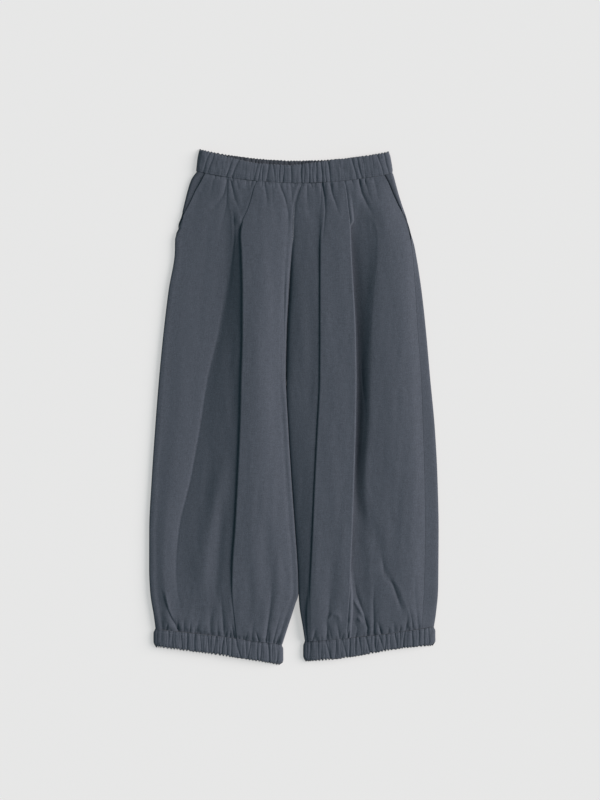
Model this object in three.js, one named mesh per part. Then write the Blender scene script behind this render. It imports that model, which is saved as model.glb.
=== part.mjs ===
// Cropped balloon trousers of crisp cotton, laid flat on their back: an elastic waistband, two wide
// legs with a pleat down each front, slanted side pockets, and an elastic cuff at each hem.
// +X runs to the right across the garment, +Y up to the waist, +Z off the surface that it lies on.
// Left and right are as seen from above. All sizes are in millimetres.
import * as THREE from 'three';

const { lerp, smoothstep } = THREE.MathUtils;

// Walls and the gaps between them
const CLOTH = 1.5; // a single panel
const CASING = 2.6; // a casing: two cloths with the elastic between them
const SEAM_GAP = 0.3; // between two pieces that are sewn together
const FOLD_RADIUS = 1.2; // of a creased pleat edge, at the middle of the wall
const LAYER_GAP = 0.4; // between a panel and the one that it lies on
const ON_FLOOR = CLOTH / 2; // the middle of a panel that rests on the surface

// Levels up the garment
const WAIST_LEVEL = 370; // the waist seam at the centre front
const CUFF_LEVEL = -378; // each cuff seam at the middle of its leg
const CROTCH_LEVEL = 50;
const TUCK_LEVEL = 304; // each pleat is stitched flat from the waist down to here
const CENTRE_GROOVE = 4.6; // how low the fronts lie in the crease along the centre seam
const SEAM_REACH = 120; // how far from a curved seam the panels' levels still follow its curve

// The waistband
const BAND_HALF_WIDTH = 162;
const BAND_NARROWING = 0.035; // of the band's width, from its seam up to its top edge
const BAND_TILT = -0.016; // its right end lies a little lower
const WAIST_SAG = 18; // the seam's ends lie this much above its middle
const BACK_TOP = { middle: 406, rise: 17 };
const FRONT_DROP = 1.2; // of the front's upper edge below the back's, at the band's ends
const FRONT_DIP = { depth: 6.6, centre: -8, inner: 22, outer: 95 }; // and how it dips further between them

const GARMENT_COLOUR = 0x4b4f58;
const FACING_COLOUR = 0x454953;

// The left leg's front: where its lines cross each level. Outline is the leg's outer fold, foot the
// lower crease of the opened pleat, fold the pleat's edge, and inner the centre seam, then the inseam.
const LEFT_LINES = [
  { level: 370, outline: -158.5, foot: -104, fold: -59, inner: 14 },
  { level: 355, outline: -168, foot: -104, fold: -64, inner: 9 },
  { level: 340, outline: -173.5, foot: -104, fold: -68, inner: 5 },
  { level: 322, outline: -179, foot: -102, fold: -74, inner: 2.5 },
  { level: 304, outline: -184.5, foot: -99, fold: -82, inner: 1.5 },
  { level: 280, outline: -193.5, foot: -98.5, fold: -85.5, inner: 1 },
  { level: 258, outline: -195.5, foot: -101, fold: -85.5, inner: -0.5 },
  { level: 192, outline: -205.5, foot: -110, fold: -85, inner: -4 },
  { level: 126, outline: -213.5, foot: -121, fold: -85, inner: -7.5 },
  { level: 44, outline: -221.5, foot: -140, fold: -86.5, inner: -10 },
  { level: -39, outline: -228, foot: -153, fold: -88, inner: -6.5 },
  { level: -121, outline: -233.5, foot: -168, fold: -91, inner: -1.5 },
  { level: -204, outline: -237.5, foot: -187, fold: -94.5, inner: 4.5 },
  { level: -270, outline: -239, foot: -192, fold: -99, inner: 9 },
  { level: -302, outline: -238, foot: -190, fold: -99.5, inner: 10 },
  { level: -319, outline: -236.5, foot: -187, fold: -98.5, inner: 4 },
  { level: -358, outline: -229.5, foot: -180, fold: -94, inner: -10.5 },
  { level: -378, outline: -227, foot: -177, fold: -92, inner: -17 },
];

// How high the middle of the left front's wall lies on those lines. Strip is the flat top of the
// pleat, shoulder where it turns down to the centre, and plateau the low cloth outside the pleat.
const LEFT_HEIGHTS = [
  { level: 370, centre: 10.2, shoulder: 10.8, strip: 11.6, foot: 10.4, plateau: 10, edge: 9.2 },
  { level: 345, centre: 9.8, shoulder: 11.6, strip: 13, foot: 10, plateau: 9.2, edge: 7.6 },
  { level: 300, centre: 9.4, shoulder: 13, strip: 16, foot: 9.4, plateau: 8.2, edge: 6.9 },
  { level: 258, centre: 9, shoulder: 14.6, strip: 18.6, foot: 7, plateau: 7.6, edge: 6.9 },
  { level: 192, centre: 9, shoulder: 15.6, strip: 21, foot: 4.9, plateau: 7.4, edge: 6.9 },
  { level: 44, centre: 9.5, shoulder: 16, strip: 22.4, foot: 4.4, plateau: 7.4, edge: 6.9 },
  { level: -121, centre: 9, shoulder: 16, strip: 22, foot: 5, plateau: 8.2, edge: 6.9 },
  { level: -270, centre: 8.5, shoulder: 15, strip: 20, foot: 7, plateau: 10, edge: 7.2 },
  { level: -340, centre: 8, shoulder: 14, strip: 17, foot: 8.2, plateau: 11.5, edge: 7.6 },
  { level: -366, centre: 7.5, shoulder: 11, strip: 13, foot: 8.4, plateau: 10, edge: 7.6 },
  { level: -378, centre: 7.5, shoulder: 9.6, strip: 11.2, foot: 8.6, plateau: 9.2, edge: 7.6 },
];

// The right leg's front, from the inside out: inner as above, crease and fold the two edges of the
// pleat's strip, valley the groove beside it, brow where the cloth has risen out of the groove,
// crest its highest line, side the side seam, and outline the leg's outer fold.
const RIGHT_LINES = [
  { level: 370, inner: 14, crease: 50, fold: 85, valley: 97, brow: 108, crest: 130, side: 151.5, outline: 166 },
  { level: 355, inner: 9, crease: 51, fold: 88, valley: 101, brow: 112, crest: 134, side: 159, outline: 169.5 },
  { level: 340, inner: 5, crease: 51, fold: 90, valley: 106, brow: 118, crest: 139, side: 165.5, outline: 174 },
  { level: 322, inner: 2.5, crease: 50, fold: 92, valley: 112, brow: 126, crest: 147, side: 174.5, outline: 180.5 },
  { level: 304, inner: 1.5, crease: 48.5, fold: 94.5, valley: 116, brow: 133, crest: 153, side: 185, outline: 187.5 },
  { level: 280, inner: 1, crease: 46.5, fold: 96.5, valley: 118, brow: 138, crest: 158, side: 193.5, outline: 196.5 },
  { level: 258, inner: -0.5, crease: 46, fold: 98, valley: 118, brow: 138, crest: 162, side: 198, outline: 202.5 },
  { level: 192, inner: -4, crease: 45.5, fold: 102, valley: 120, brow: 131, crest: 166, side: 203, outline: 211.2 },
  { level: 126, inner: -7.5, crease: 45.5, fold: 105.5, valley: 121.5, brow: 129.5, crest: 169, side: 207, outline: 218.3 },
  { level: 44, inner: -10, crease: 45, fold: 106, valley: 121, brow: 127.5, crest: 172, side: 213, outline: 225.8 },
  { level: -39, inner: -6.5, crease: 41, fold: 104, valley: 118.5, brow: 125, crest: 176, side: 216, outline: 233.3 },
  { level: -121, inner: -1.5, crease: 37, fold: 101.5, valley: 111, brow: 120, crest: 179, side: 218.5, outline: 237.8 },
  { level: -204, inner: 4.5, crease: 33.5, fold: 98.5, valley: 108, brow: 124, crest: 182, side: 219.5, outline: 239.8 },
  { level: -270, inner: 9, crease: 30.5, fold: 96, valley: 106, brow: 126, crest: 184, side: 218.5, outline: 239.8 },
  { level: -302, inner: 10, crease: 29, fold: 94.5, valley: 104, brow: 127, crest: 184, side: 217.5, outline: 239.3 },
  { level: -319, inner: 11, crease: 28.5, fold: 93, valley: 103, brow: 126, crest: 184, side: 217, outline: 238.3 },
  { level: -358, inner: 17.5, crease: 29, fold: 90, valley: 100, brow: 124, crest: 183, side: 215, outline: 235.5 },
  { level: -378, inner: 20.5, crease: 31, fold: 89, valley: 99, brow: 123, crest: 182, side: 214.5, outline: 234 },
];

const RIGHT_HEIGHTS = [
  { level: 370, centre: 10.2, flank: 10.8, strip: 11.6, valley: 10.4, brow: 10.4, crest: 10.6, slope: 10, side: 9.2 },
  { level: 345, centre: 9.8, flank: 11.6, strip: 13, valley: 11, brow: 11.6, crest: 12, slope: 10.2, side: 7.8 },
  { level: 300, centre: 9.4, flank: 13, strip: 16, valley: 11.6, brow: 14, crest: 14.5, slope: 11, side: 7 },
  { level: 258, centre: 9, flank: 14.6, strip: 18.6, valley: 10.2, brow: 15.6, crest: 16.4, slope: 13, side: 7.2 },
  { level: 192, centre: 9, flank: 15.2, strip: 20.6, valley: 5.6, brow: 14.6, crest: 17, slope: 13.2, side: 7.4 },
  { level: 44, centre: 9.5, flank: 15.6, strip: 22.4, valley: 3.7, brow: 13.6, crest: 16.8, slope: 13.5, side: 7.6 },
  { level: -60, centre: 9.2, flank: 15.6, strip: 22, valley: 4, brow: 13, crest: 16.4, slope: 13.2, side: 7.6 },
  { level: -121, centre: 9, flank: 15.6, strip: 22, valley: 7.4, brow: 12.6, crest: 16, slope: 13, side: 7.6 },
  { level: -270, centre: 8.5, flank: 13.8, strip: 20, valley: 12, brow: 13.5, crest: 15.5, slope: 12.5, side: 7.6 },
  { level: -340, centre: 8, flank: 11, strip: 17, valley: 11.5, brow: 13, crest: 14, slope: 11.5, side: 7.6 },
  { level: -366, centre: 7.5, flank: 8.6, strip: 13, valley: 9, brow: 10.6, crest: 11, slope: 9.8, side: 7.6 },
  { level: -378, centre: 7.5, flank: 7.6, strip: 11.2, valley: 8.6, brow: 9.4, crest: 9.6, slope: 9, side: 7.6 },
];

// The levels at which the panels have a row of points, closer together near both seams
const ROW_SHARES = [
  0, 0.011, 0.027, 0.046, 0.066, 0.086, 0.098, 0.11, 0.122, 0.135, 0.165, 0.21, 0.27, 0.34, 0.41,
  0.48, 0.55, 0.62, 0.69, 0.76, 0.825, 0.875, 0.912, 0.941, 0.963, 0.981, 1,
];

// The pocket mouths: each slants out from the waist seam to the outline, and shows its facing.
const LEFT_MOUTH = [
  { level: 370, x: -143.5 },
  { level: 355, x: -151 },
  { level: 340, x: -160 },
  { level: 322, x: -169.5 },
  { level: 305, x: -180.5 },
];
const POCKET_END = { left: 305, right: 296 };
const FACING_UNDER = 18; // how far a facing runs on beneath the front
const WRAP_RUN = 34; // the length over which an outer edge rolls over below a pocket
const ROLL_HALF_WIDTH = 4; // of the leg's rolled outer edge, seen end on
const ROLL_LEAD = 8; // the flat cloth before the roll
const ROLL_UNDER = 4; // and the flat cloth after it, under the leg

// Tucks that run down from the waist seam: at is where one leaves the seam, lean how far it moves
// sideways along its length, and long that length.
const WAIST_TUCKS = [
  { at: -109, depth: 2.6, wide: 5, long: 70, lean: -16 },
  { at: -102, depth: 1.8, wide: 4, long: 60, lean: 18 },
  { at: -46, depth: 1.7, wide: 4, long: 50, lean: 5 },
  { at: -23, depth: 2.2, wide: 4.5, long: 70, lean: 16 },
  { at: -3, depth: 1.6, wide: 4, long: 50, lean: 4 },
  { at: 16, depth: 2.2, wide: 4.5, long: 50, lean: -13 },
  { at: 24, depth: 1.4, wide: 5, long: 55, lean: 2 },
  { at: 50, depth: 2.2, wide: 4, long: 80, lean: 2 },
  { at: 61, depth: 2.2, wide: 4.5, long: 60, lean: 18 },
  { at: 110, depth: 2.8, wide: 6, long: 80, lean: 26 },
];

// Puckers that run up from each cuff seam, in the same columns
const LEFT_PUCKERS = [
  { at: -200, depth: 2.6, wide: 6, long: 60, lean: -14 },
  { at: -184, depth: 1.6, wide: 5, long: 30, lean: -8 },
  { at: -160, depth: 2, wide: 5, long: 34, lean: -4 },
  { at: -134, depth: 2.6, wide: 7, long: 60, lean: 2 },
  { at: -114, depth: 2.4, wide: 6, long: 75, lean: -4 },
  { at: -68, depth: 1.8, wide: 6, long: 36, lean: 4 },
  { at: -46, depth: 2.6, wide: 5, long: 66, lean: 8 },
  { at: -33, depth: 1.6, wide: 4, long: 45, lean: 7 },
];
const RIGHT_PUCKERS = [
  { at: 56, depth: 2.6, wide: 6, long: 60, lean: 3 },
  { at: 76, depth: 1.8, wide: 5, long: 24, lean: -3 },
  { at: 124, depth: 2.8, wide: 5, long: 60, lean: -14 },
  { at: 136, depth: 2.2, wide: 5, long: 90, lean: -5 },
  { at: 151, depth: 2, wide: 5, long: 40, lean: -10 },
  { at: 186, depth: 2, wide: 5, long: 50, lean: -12 },
  { at: 205, depth: 2.4, wide: 6, long: 55, lean: -2 },
];

// The gathers of each casing: where its grooves lie along it, deep ones first
const WAIST_DEEP = [-156, -99, -42, -2.5, 14, 48.5, 62, 113];
const WAIST_SHALLOW = [-139, -108, -58.5, -51.5, -29, -22, -15.5, 20, 27, 33, 40, 55, 104, 120, 148, 157];
const LEFT_CUFF_DEEP = [-174, -162, -128, -115.5, -70, -40.5];
const LEFT_CUFF_SHALLOW = [-205, -198, -184, -151.5, -141, -135, -122, -109.5, -101, -93, -77.5, -58.5, -52, -34, -27];
const RIGHT_CUFF_DEEP = [58.5, 111, 125.5, 136, 170, 184];
const RIGHT_CUFF_SHALLOW = [29, 42, 51, 71, 80, 87, 93, 118, 143, 148, 153, 161, 197, 208, 217, 224];
const DEEP_GROOVE = 1.5;
const SHALLOW_GROOVE = 0.9;
const GROOVE_WIDTH = 2.2;

// Each cuff: its seam and its hem at the two ends, and how far the hem bows down between them
const LEFT_CUFF = { left: -227, right: -17.5, seam: [-369, -394], hem: [-392.5, -424], bow: 3 };
const RIGHT_CUFF = { left: 18.5, right: 234, seam: [-387.5, -364.5], hem: [-418, -391.5], bow: 4 };

// A smooth curve through one column of a table, with no overshoot between its rows
function curveThrough(rows, name) {
  const sorted = [...rows].sort((a, b) => a.level - b.level);
  const at = sorted.map((row) => row.level);
  const value = sorted.map((row) => row[name]);
  const slopes = at.slice(1).map((next, i) => (value[i + 1] - value[i]) / (next - at[i]));
  const tangents = value.map((_, i) => {
    const before = slopes[Math.max(i - 1, 0)];
    const after = slopes[Math.min(i, slopes.length - 1)];
    return before * after <= 0 ? 0 : (2 * before * after) / (before + after);
  });
  return (level) => {
    const inside = Math.min(Math.max(level, at[0]), at.at(-1));
    const i = Math.min(at.findLastIndex((start) => start <= inside), slopes.length - 1);
    const step = at[i + 1] - at[i];
    const t = (inside - at[i]) / step;
    const eased = t * t * (3 - 2 * t);
    const leaving = t * (1 - t) ** 2 * step * tangents[i];
    const arriving = t * t * (t - 1) * step * tangents[i + 1];
    return lerp(value[i], value[i + 1], eased) + leaving + arriving;
  };
}

// Every column of a table as such a curve, by name
function curvesOf(rows) {
  const names = Object.keys(rows[0]).filter((name) => name !== 'level');
  return Object.fromEntries(names.map((name) => [name, curveThrough(rows, name)]));
}

// The value of each of those curves at one level, by name
function valuesAt(curves, level) {
  return Object.fromEntries(Object.entries(curves).map(([name, curve]) => [name, curve(level)]));
}

const leftLine = curvesOf(LEFT_LINES);
const leftHeight = curvesOf(LEFT_HEIGHTS);
const rightLine = curvesOf(RIGHT_LINES);
const rightHeight = curvesOf(RIGHT_HEIGHTS);
const leftMouth = curveThrough(LEFT_MOUTH, 'x');

// The waist seam and the band's edges sag between the ends
const sag = (x) => (x / BAND_HALF_WIDTH) ** 2;
const waistSeam = (x) => WAIST_LEVEL - 1 + WAIST_SAG * sag(x) + BAND_TILT * x;
const backTop = (x) => BACK_TOP.middle + BACK_TOP.rise * sag(x) + BAND_TILT * x;

function frontTop(x) {
  const away = Math.abs(x - FRONT_DIP.centre);
  const dip = FRONT_DIP.depth * (1 - smoothstep(away, FRONT_DIP.inner, FRONT_DIP.outer));
  return backTop(x) - FRONT_DROP - dip;
}

function cuffEdge(cuff, edge, x) {
  const share = (x - cuff.left) / (cuff.right - cuff.left);
  const bow = edge === 'hem' ? cuff.bow * Math.sin(Math.PI * Math.min(Math.max(share, 0), 1)) : 0;
  return lerp(...cuff[edge], share) - bow;
}

// A level's true place: near a seam it follows the seam's own line
function placeLevel(level, x, cuff) {
  const nearWaist = smoothstep(level, WAIST_LEVEL - SEAM_REACH, WAIST_LEVEL);
  const nearCuff = smoothstep(-level, -CUFF_LEVEL - SEAM_REACH, -CUFF_LEVEL);
  const toWaist = waistSeam(x) - SEAM_GAP / 2 - WAIST_LEVEL;
  const toCuff = cuffEdge(cuff, 'seam', x) + SEAM_GAP / 2 - CUFF_LEVEL;
  return level + toWaist * nearWaist + toCuff * nearCuff;
}

// How deep tucks or puckers press the cloth at x, a given distance from the seam they start at
function pressed(folds, x, distance) {
  const held = 0.35 + 0.65 * smoothstep(distance, 0, 8); // the stitches hold the cloth level
  return folds.reduce((sum, fold) => {
    const along = distance / fold.long;
    if (along >= 1) return sum;
    const centre = fold.at + fold.lean * along;
    const width = fold.wide * (1 + 0.8 * along);
    return sum + held * fold.depth * (1 - along) ** 1.5 * Math.exp(-(((x - centre) / width) ** 2));
  }, 0);
}

// A creased pleat edge seen end on: over the edge, back under it, and out again below
function pleatEdge(edge, top, depth, side) {
  const r = FOLD_RADIUS;
  return [
    [edge - side * r, top],
    [edge, top - r],
    [edge - side * r, top - 2 * r],
    [edge - side * (depth - r), top - 2 * r - 0.1],
    [edge - side * depth, top - 3 * r - 0.1],
    [edge - side * (depth - r), top - 4 * r - 0.1],
  ];
}

// The same edge where the pleat is stitched flat: a low step in place of the open fold
function stitchedEdge(edge, top, side) {
  const step = [[FOLD_RADIUS, 0], [0.2, -0.25], [-0.6, -0.6], [-1.5, -0.85], [-2.5, -0.8], [-3.6, -0.7]];
  return step.map(([aside, drop]) => [edge - side * aside, top + drop]);
}

// Each pair of points from two equally long lists, mixed by share
function mixPoints(first, second, share) {
  return first.map(([x, z], i) => [lerp(x, second[i][0], share), lerp(z, second[i][1], share)]);
}

// Where a front starts at the middle of the garment: above the crotch it ends at the centre seam,
// and below it drops to the back panel.
function innerEdge(inner, level, centre, side) {
  const dropped = smoothstep(-level, -CROTCH_LEVEL - 30, -CROTCH_LEVEL + 30);
  const aside = Math.min(5 * dropped, 1); // an upright wall needs its own half thickness beside the line
  const seamX = inner + side * (SEAM_GAP / 2 + aside * (CLOTH / 2));
  const sunk = lerp(centre, CENTRE_GROOVE, 0.9 * smoothstep(WAIST_LEVEL - level, 60, 200));
  return [
    [seamX, lerp(sunk, CLOTH + LAYER_GAP, dropped)],
    [lerp(seamX + side * 1.6, seamX, dropped), lerp(lerp(sunk, centre, 0.55), centre - 2, dropped)],
    [seamX + side * lerp(4, 1.2, dropped), centre + 0.6],
  ];
}

// The left front's outer edge seen end on: flat cloth, then a half turn under the leg and a little
// more flat cloth. Turned, from 0 to 1, is how much of it there is, and start is where it turns.
function rolledEdge(start, top, turned) {
  const halfTurn = (top - ON_FLOOR) / 2;
  const turnLength = (Math.PI * (ROLL_HALF_WIDTH + halfTurn)) / 2;
  const whole = ROLL_LEAD + turned * (turnLength + ROLL_UNDER);
  return [0, 0.25, 0.5, 0.75, 1].map((share) => {
    const past = share * whole - ROLL_LEAD;
    const angle = Math.PI * Math.min(Math.max(past / turnLength, 0), 1);
    const under = Math.max(past - turnLength, 0);
    return [
      start + Math.max(-past, 0) + under - ROLL_HALF_WIDTH * Math.sin(angle),
      ON_FLOOR + halfTurn * (1 + Math.cos(angle)),
    ];
  });
}

const LEFT_STEPS = [1, 1, 1, 1, 6, 6, 1, 1, 1, 1, 1, 1, 2, 3, 1, 1, 4, 5, 2, 2, 2, 2];

// Points across the left front at one level, from the centre out
function leftFrontSection(level) {
  const x = valuesAt(leftLine, level);
  const z = valuesAt(leftHeight, level);
  const undercut = lerp(3, 7, smoothstep(TUCK_LEVEL - level, -6, 40) * smoothstep(level, CUFF_LEVEL, -300));
  const stitched = smoothstep(level, TUCK_LEVEL - 14, TUCK_LEVEL + 2);
  const fold = mixPoints(
    pleatEdge(x.fold, z.strip, undercut, -1),
    stitchedEdge(x.fold, z.strip, -1),
    stitched,
  );
  const rampTop = fold.at(-1)[1] - lerp(0.5, 0.1, stitched);
  const rampX = x.fold - lerp(2, 5.5, stitched);
  const shoulderX = x.inner - 15;
  const wrapped = smoothstep(POCKET_END.left - level, 0, WRAP_RUN);
  const turnX = lerp(leftMouth(level), x.outline + CLOTH / 2 + ROLL_HALF_WIDTH, wrapped);
  return [
    ...innerEdge(x.inner, level, z.centre, -1),
    [x.inner - 9, lerp(z.centre, z.shoulder, 0.45)],
    [shoulderX, z.shoulder],
    [(shoulderX + x.fold) / 2, z.strip + 0.6],
    ...fold,
    [rampX, rampTop],
    [lerp(rampX, x.foot, 0.55), lerp(rampTop, z.foot, 0.56)],
    [x.foot + 3, lerp(rampTop, z.foot, 0.95)],
    [x.foot - 1, z.foot],
    [x.foot - 5, lerp(z.foot, z.plateau, 0.35)],
    [lerp(x.foot, turnX, 0.5), z.plateau],
    ...rolledEdge(turnX, z.edge, wrapped),
  ];
}

const RIGHT_STEPS = [1, 1, 2, 3, 1, 1, 1, 1, 1, 1, 6, 6, 1, 1, 1, 1, 1, 1, 1, 1, 1, 1, 4, 4, 3];

// Points across the right front at one level, from the centre out to the side seam
function rightFrontSection(level) {
  const x = valuesAt(rightLine, level);
  const z = valuesAt(rightHeight, level);
  const undercut = lerp(3, 6, smoothstep(TUCK_LEVEL - level, -6, 100) * smoothstep(level, -200, -40));
  const stitched = smoothstep(level, TUCK_LEVEL - 14, TUCK_LEVEL + 2);
  const soft = smoothstep(level, 200, 330); // the strip's inner edge is a soft gather near the waist
  const rise = [0, 1, 2, 3, 4, 5].map((i) => [x.crease - 4 + i, z.strip - 1.5 + 0.3 * i]);
  const crease = mixPoints(pleatEdge(x.crease, z.strip, 3.4, -1).reverse(), rise, soft);
  const fold = mixPoints(
    pleatEdge(x.fold, z.strip, undercut, 1),
    stitchedEdge(x.fold, z.strip, 1),
    stitched,
  );
  const below = fold.at(-1)[1] - lerp(0.5, 0.1, stitched);
  return [
    ...innerEdge(x.inner, level, z.centre, 1),
    [lerp(x.inner, x.crease, 0.5), lerp(z.centre, z.flank, 0.7)],
    [x.crease - lerp(2, 5.5, soft), z.flank],
    ...crease,
    [(x.crease + x.fold) / 2, z.strip + 0.6],
    ...fold,
    [x.fold + lerp(0.2, 5.5, stitched), lerp(below, z.valley, 0.2)],
    [lerp(x.fold, x.valley, 0.45), lerp(below, z.valley, 0.92)],
    [x.valley, z.valley],
    [x.brow - 1.5, lerp(z.valley, z.brow, 0.9)],
    [x.brow + 3, z.brow + 0.3],
    [x.crest, z.crest],
    [lerp(x.crest, x.side, 0.6), z.slope],
    [x.side - SEAM_GAP / 2, z.side],
  ];
}

// The back lies flat. On the left it ends where the front has rolled under it, and on the right it
// rolls up over the leg's edge to the side seam.
const LEFT_BACK_STEPS = [8, 2];
function leftBackSection(level) {
  const outline = leftLine.outline(level);
  const retreat = smoothstep(POCKET_END.left - level, 8, WRAP_RUN - 4);
  const frontEnds = CLOTH / 2 + ROLL_HALF_WIDTH + ROLL_UNDER;
  const end = outline + lerp(CLOTH / 2, frontEnds + SEAM_GAP, retreat);
  return [
    [leftLine.inner(level) - SEAM_GAP / 2, ON_FLOOR],
    [end + 12, ON_FLOOR],
    [end, ON_FLOOR],
  ];
}

const RIGHT_BACK_STEPS = [7, 2, 2, 2, 3];
function rightBackSection(level) {
  const outline = rightLine.outline(level);
  const rolled = smoothstep(POCKET_END.right - level, 0, WRAP_RUN);
  const mix = (flat, up) => flat.map((value, i) => lerp(value, up[i], rolled));
  const seam = [rightLine.side(level) + SEAM_GAP / 2, rightHeight.side(level)];
  return [
    [rightLine.inner(level) + SEAM_GAP / 2, ON_FLOOR],
    [outline - 16, ON_FLOOR],
    mix([outline - 9, ON_FLOOR], [outline - 6, ON_FLOOR + 0.1]),
    mix([outline - 6, ON_FLOOR], [outline - 2, 1.9]),
    mix([outline - 3, ON_FLOOR], [outline - CLOTH / 2, 4.2]),
    mix([outline - CLOTH / 2, ON_FLOOR], seam),
  ];
}

// A smooth line through a section's points, with the given number of steps in each stretch
function sampleSection(section, steps) {
  const curve = new THREE.CatmullRomCurve3(
    section.map(([x, z]) => new THREE.Vector3(x, 0, z)),
    false,
    'centripetal',
  );
  const stretches = section.length - 1;
  const points = [];
  for (let i = 0; i < stretches; i++) {
    for (let j = 0; j < steps[i]; j++) points.push(curve.getPoint((i + j / steps[i]) / stretches));
  }
  points.push(curve.getPoint(1));
  return points;
}

// The grid of one leg panel: a row of points at each level, each row from left to right
function panelGrid({ section, steps, side, cuff, puckers }) {
  return ROW_SHARES.map((share) => {
    const level = lerp(WAIST_LEVEL, CUFF_LEVEL, share);
    const row = sampleSection(section(level), steps).map((point) => {
      const y = placeLevel(level, point.x, cuff);
      const tucks = pressed(WAIST_TUCKS, point.x, waistSeam(point.x) - y);
      const gathers = pressed(puckers, point.x, y - cuffEdge(cuff, 'seam', point.x));
      const clear = smoothstep(point.z, 5, 9); // only what lies well above the back is pressed
      return new THREE.Vector3(point.x, y, point.z - (tucks + gathers) * clear);
    });
    return side < 0 ? row.reverse() : row;
  });
}

// The direction out of the cloth at one point of a grid. The rim stands upright along a seam: at both
// ends of a panel, and at the columns where it has a side seam or the centre seam.
function normalAt(grid, r, c, { sideSeam, centreSeam }) {
  const last = { row: grid.length - 1, column: grid[0].length - 1 };
  const down = grid[Math.min(r + 1, last.row)][c].clone().sub(grid[Math.max(r - 1, 0)][c]);
  const across = grid[r][Math.min(c + 1, last.column)].clone().sub(grid[r][Math.max(c - 1, 0)]);
  const normal = down.cross(across);
  if (r === 0 || r === last.row) normal.setY(0);
  normal.normalize();
  if (sideSeam && c === last.column) normal.x *= 1 - smoothstep(Math.abs(normal.z), 0.4, 0.7);
  const atCentre = centreSeam === 'first' ? c === 0 : centreSeam === 'last' && c === last.column;
  if (atCentre) normal.x *= 1 - smoothstep(Math.abs(normal.z), 0.15, 0.35);
  return normal.normalize();
}

// A closed wall over a grid of points at its middle. raised(point) adds to its upper face.
function wallGeometry(grid, thickness, { raised = () => 0, ...seams } = {}) {
  const rows = grid.length;
  const columns = grid[0].length;
  const positions = [];
  for (const face of [1, -1]) {
    grid.forEach((row, r) =>
      row.forEach((point, c) => {
        const out = thickness / 2 + (face > 0 ? raised(point) : 0);
        const placed = normalAt(grid, r, c, seams).multiplyScalar(face * out).add(point);
        positions.push(placed.x, placed.y, Math.max(placed.z, 0));
      }),
    );
  }
  const over = (r, c) => r * columns + c;
  const under = (r, c) => (rows + r) * columns + c;
  const indices = [];
  const quad = (a, b, c, d) => indices.push(a, b, c, a, c, d);
  for (let r = 0; r < rows - 1; r++) {
    for (let c = 0; c < columns - 1; c++) {
      quad(over(r, c), over(r + 1, c), over(r + 1, c + 1), over(r, c + 1));
      quad(under(r, c), under(r, c + 1), under(r + 1, c + 1), under(r + 1, c));
    }
    const right = columns - 1;
    quad(over(r, 0), under(r, 0), under(r + 1, 0), over(r + 1, 0));
    quad(over(r, right), over(r + 1, right), under(r + 1, right), under(r, right));
  }
  for (let c = 0; c < columns - 1; c++) {
    const bottom = rows - 1;
    quad(over(0, c), over(0, c + 1), under(0, c + 1), under(0, c));
    quad(over(bottom, c), under(bottom, c), under(bottom, c + 1), over(bottom, c + 1));
  }
  const geometry = new THREE.BufferGeometry();
  geometry.setAttribute('position', new THREE.Float32BufferAttribute(positions, 3));
  geometry.setIndex(indices);
  geometry.computeVertexNormals();
  return geometry;
}

const cotton = (color = GARMENT_COLOUR) =>
  new THREE.MeshStandardMaterial({ color, roughness: 0.9, metalness: 0 });

function piece(name, geometry, material = cotton()) {
  const mesh = new THREE.Mesh(geometry, material);
  mesh.name = name;
  return mesh;
}

// The gathers' relief along a casing: full cloth between the grooves
function gathers(deep, shallow) {
  const groove = (x, at, depth) => depth * Math.exp(-(((x - at) / GROOVE_WIDTH) ** 2));
  return (point) =>
    DEEP_GROOVE -
    Math.min(
      DEEP_GROOVE,
      deep.reduce((sum, at) => sum + groove(point.x, at, DEEP_GROOVE), 0) +
        shallow.reduce((sum, at) => sum + groove(point.x, at, SHALLOW_GROOVE), 0),
    );
}

// Places across a casing: its ends, every groove and both flanks of each, and none too close
function casingStations(left, right, grooves) {
  const flank = GROOVE_WIDTH * 1.25;
  const wanted = grooves.flatMap((at) => [at - flank, at, at + flank]);
  const inside = wanted.filter((x) => x > left + 9 && x < right - 9).sort((a, b) => a - b);
  return inside.filter((x, i) => i === 0 || x - inside[i - 1] > 1.4);
}

// The front half of a casing: it lies over the back half and turns down to it at both ends.
function casingFront({ left, right, height, grooves, top, bottom, narrowing = 0 }) {
  const middle = (x) => height - 1.2 * ((2 * x - left - right) / (right - left)) ** 2;
  const end = (x, side) => [
    { x: x - side * (CASING / 2), z: CASING + LAYER_GAP },
    { x: x - side * (CASING / 2), z: CASING + 2.6 },
    { x: x - side * 3.4, z: height - 2.6 },
    { x: x - side * 7.5, z: middle(x) },
  ];
  const across = [
    ...end(left, -1),
    ...casingStations(left, right, grooves).map((x) => ({ x, z: middle(x) })),
    ...end(right, 1).reverse(),
  ];
  const shares = [0, 0.35, 0.7, 1];
  return shares.map((share) =>
    across.map(({ x, z }) => {
      const crown = 0.8 * Math.sin(Math.PI * share) * smoothstep(z, CASING + 2, height - 2);
      const placed = x * (1 - narrowing * (1 - share));
      return new THREE.Vector3(placed, lerp(top(placed), bottom(placed), share), z + crown);
    }),
  );
}

// The back half of a casing lies flat on the surface.
function casingBack({ left, right, grooves, top, bottom, narrowing = 0 }) {
  const across = [left, left + 4, ...casingStations(left, right, grooves), right - 4, right];
  return [0, 0.5, 1].map((share) =>
    across.map((x) => {
      const placed = x * (1 - narrowing * (1 - share));
      return new THREE.Vector3(placed, lerp(top(placed), bottom(placed), share), CASING / 2);
    }),
  );
}

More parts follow.
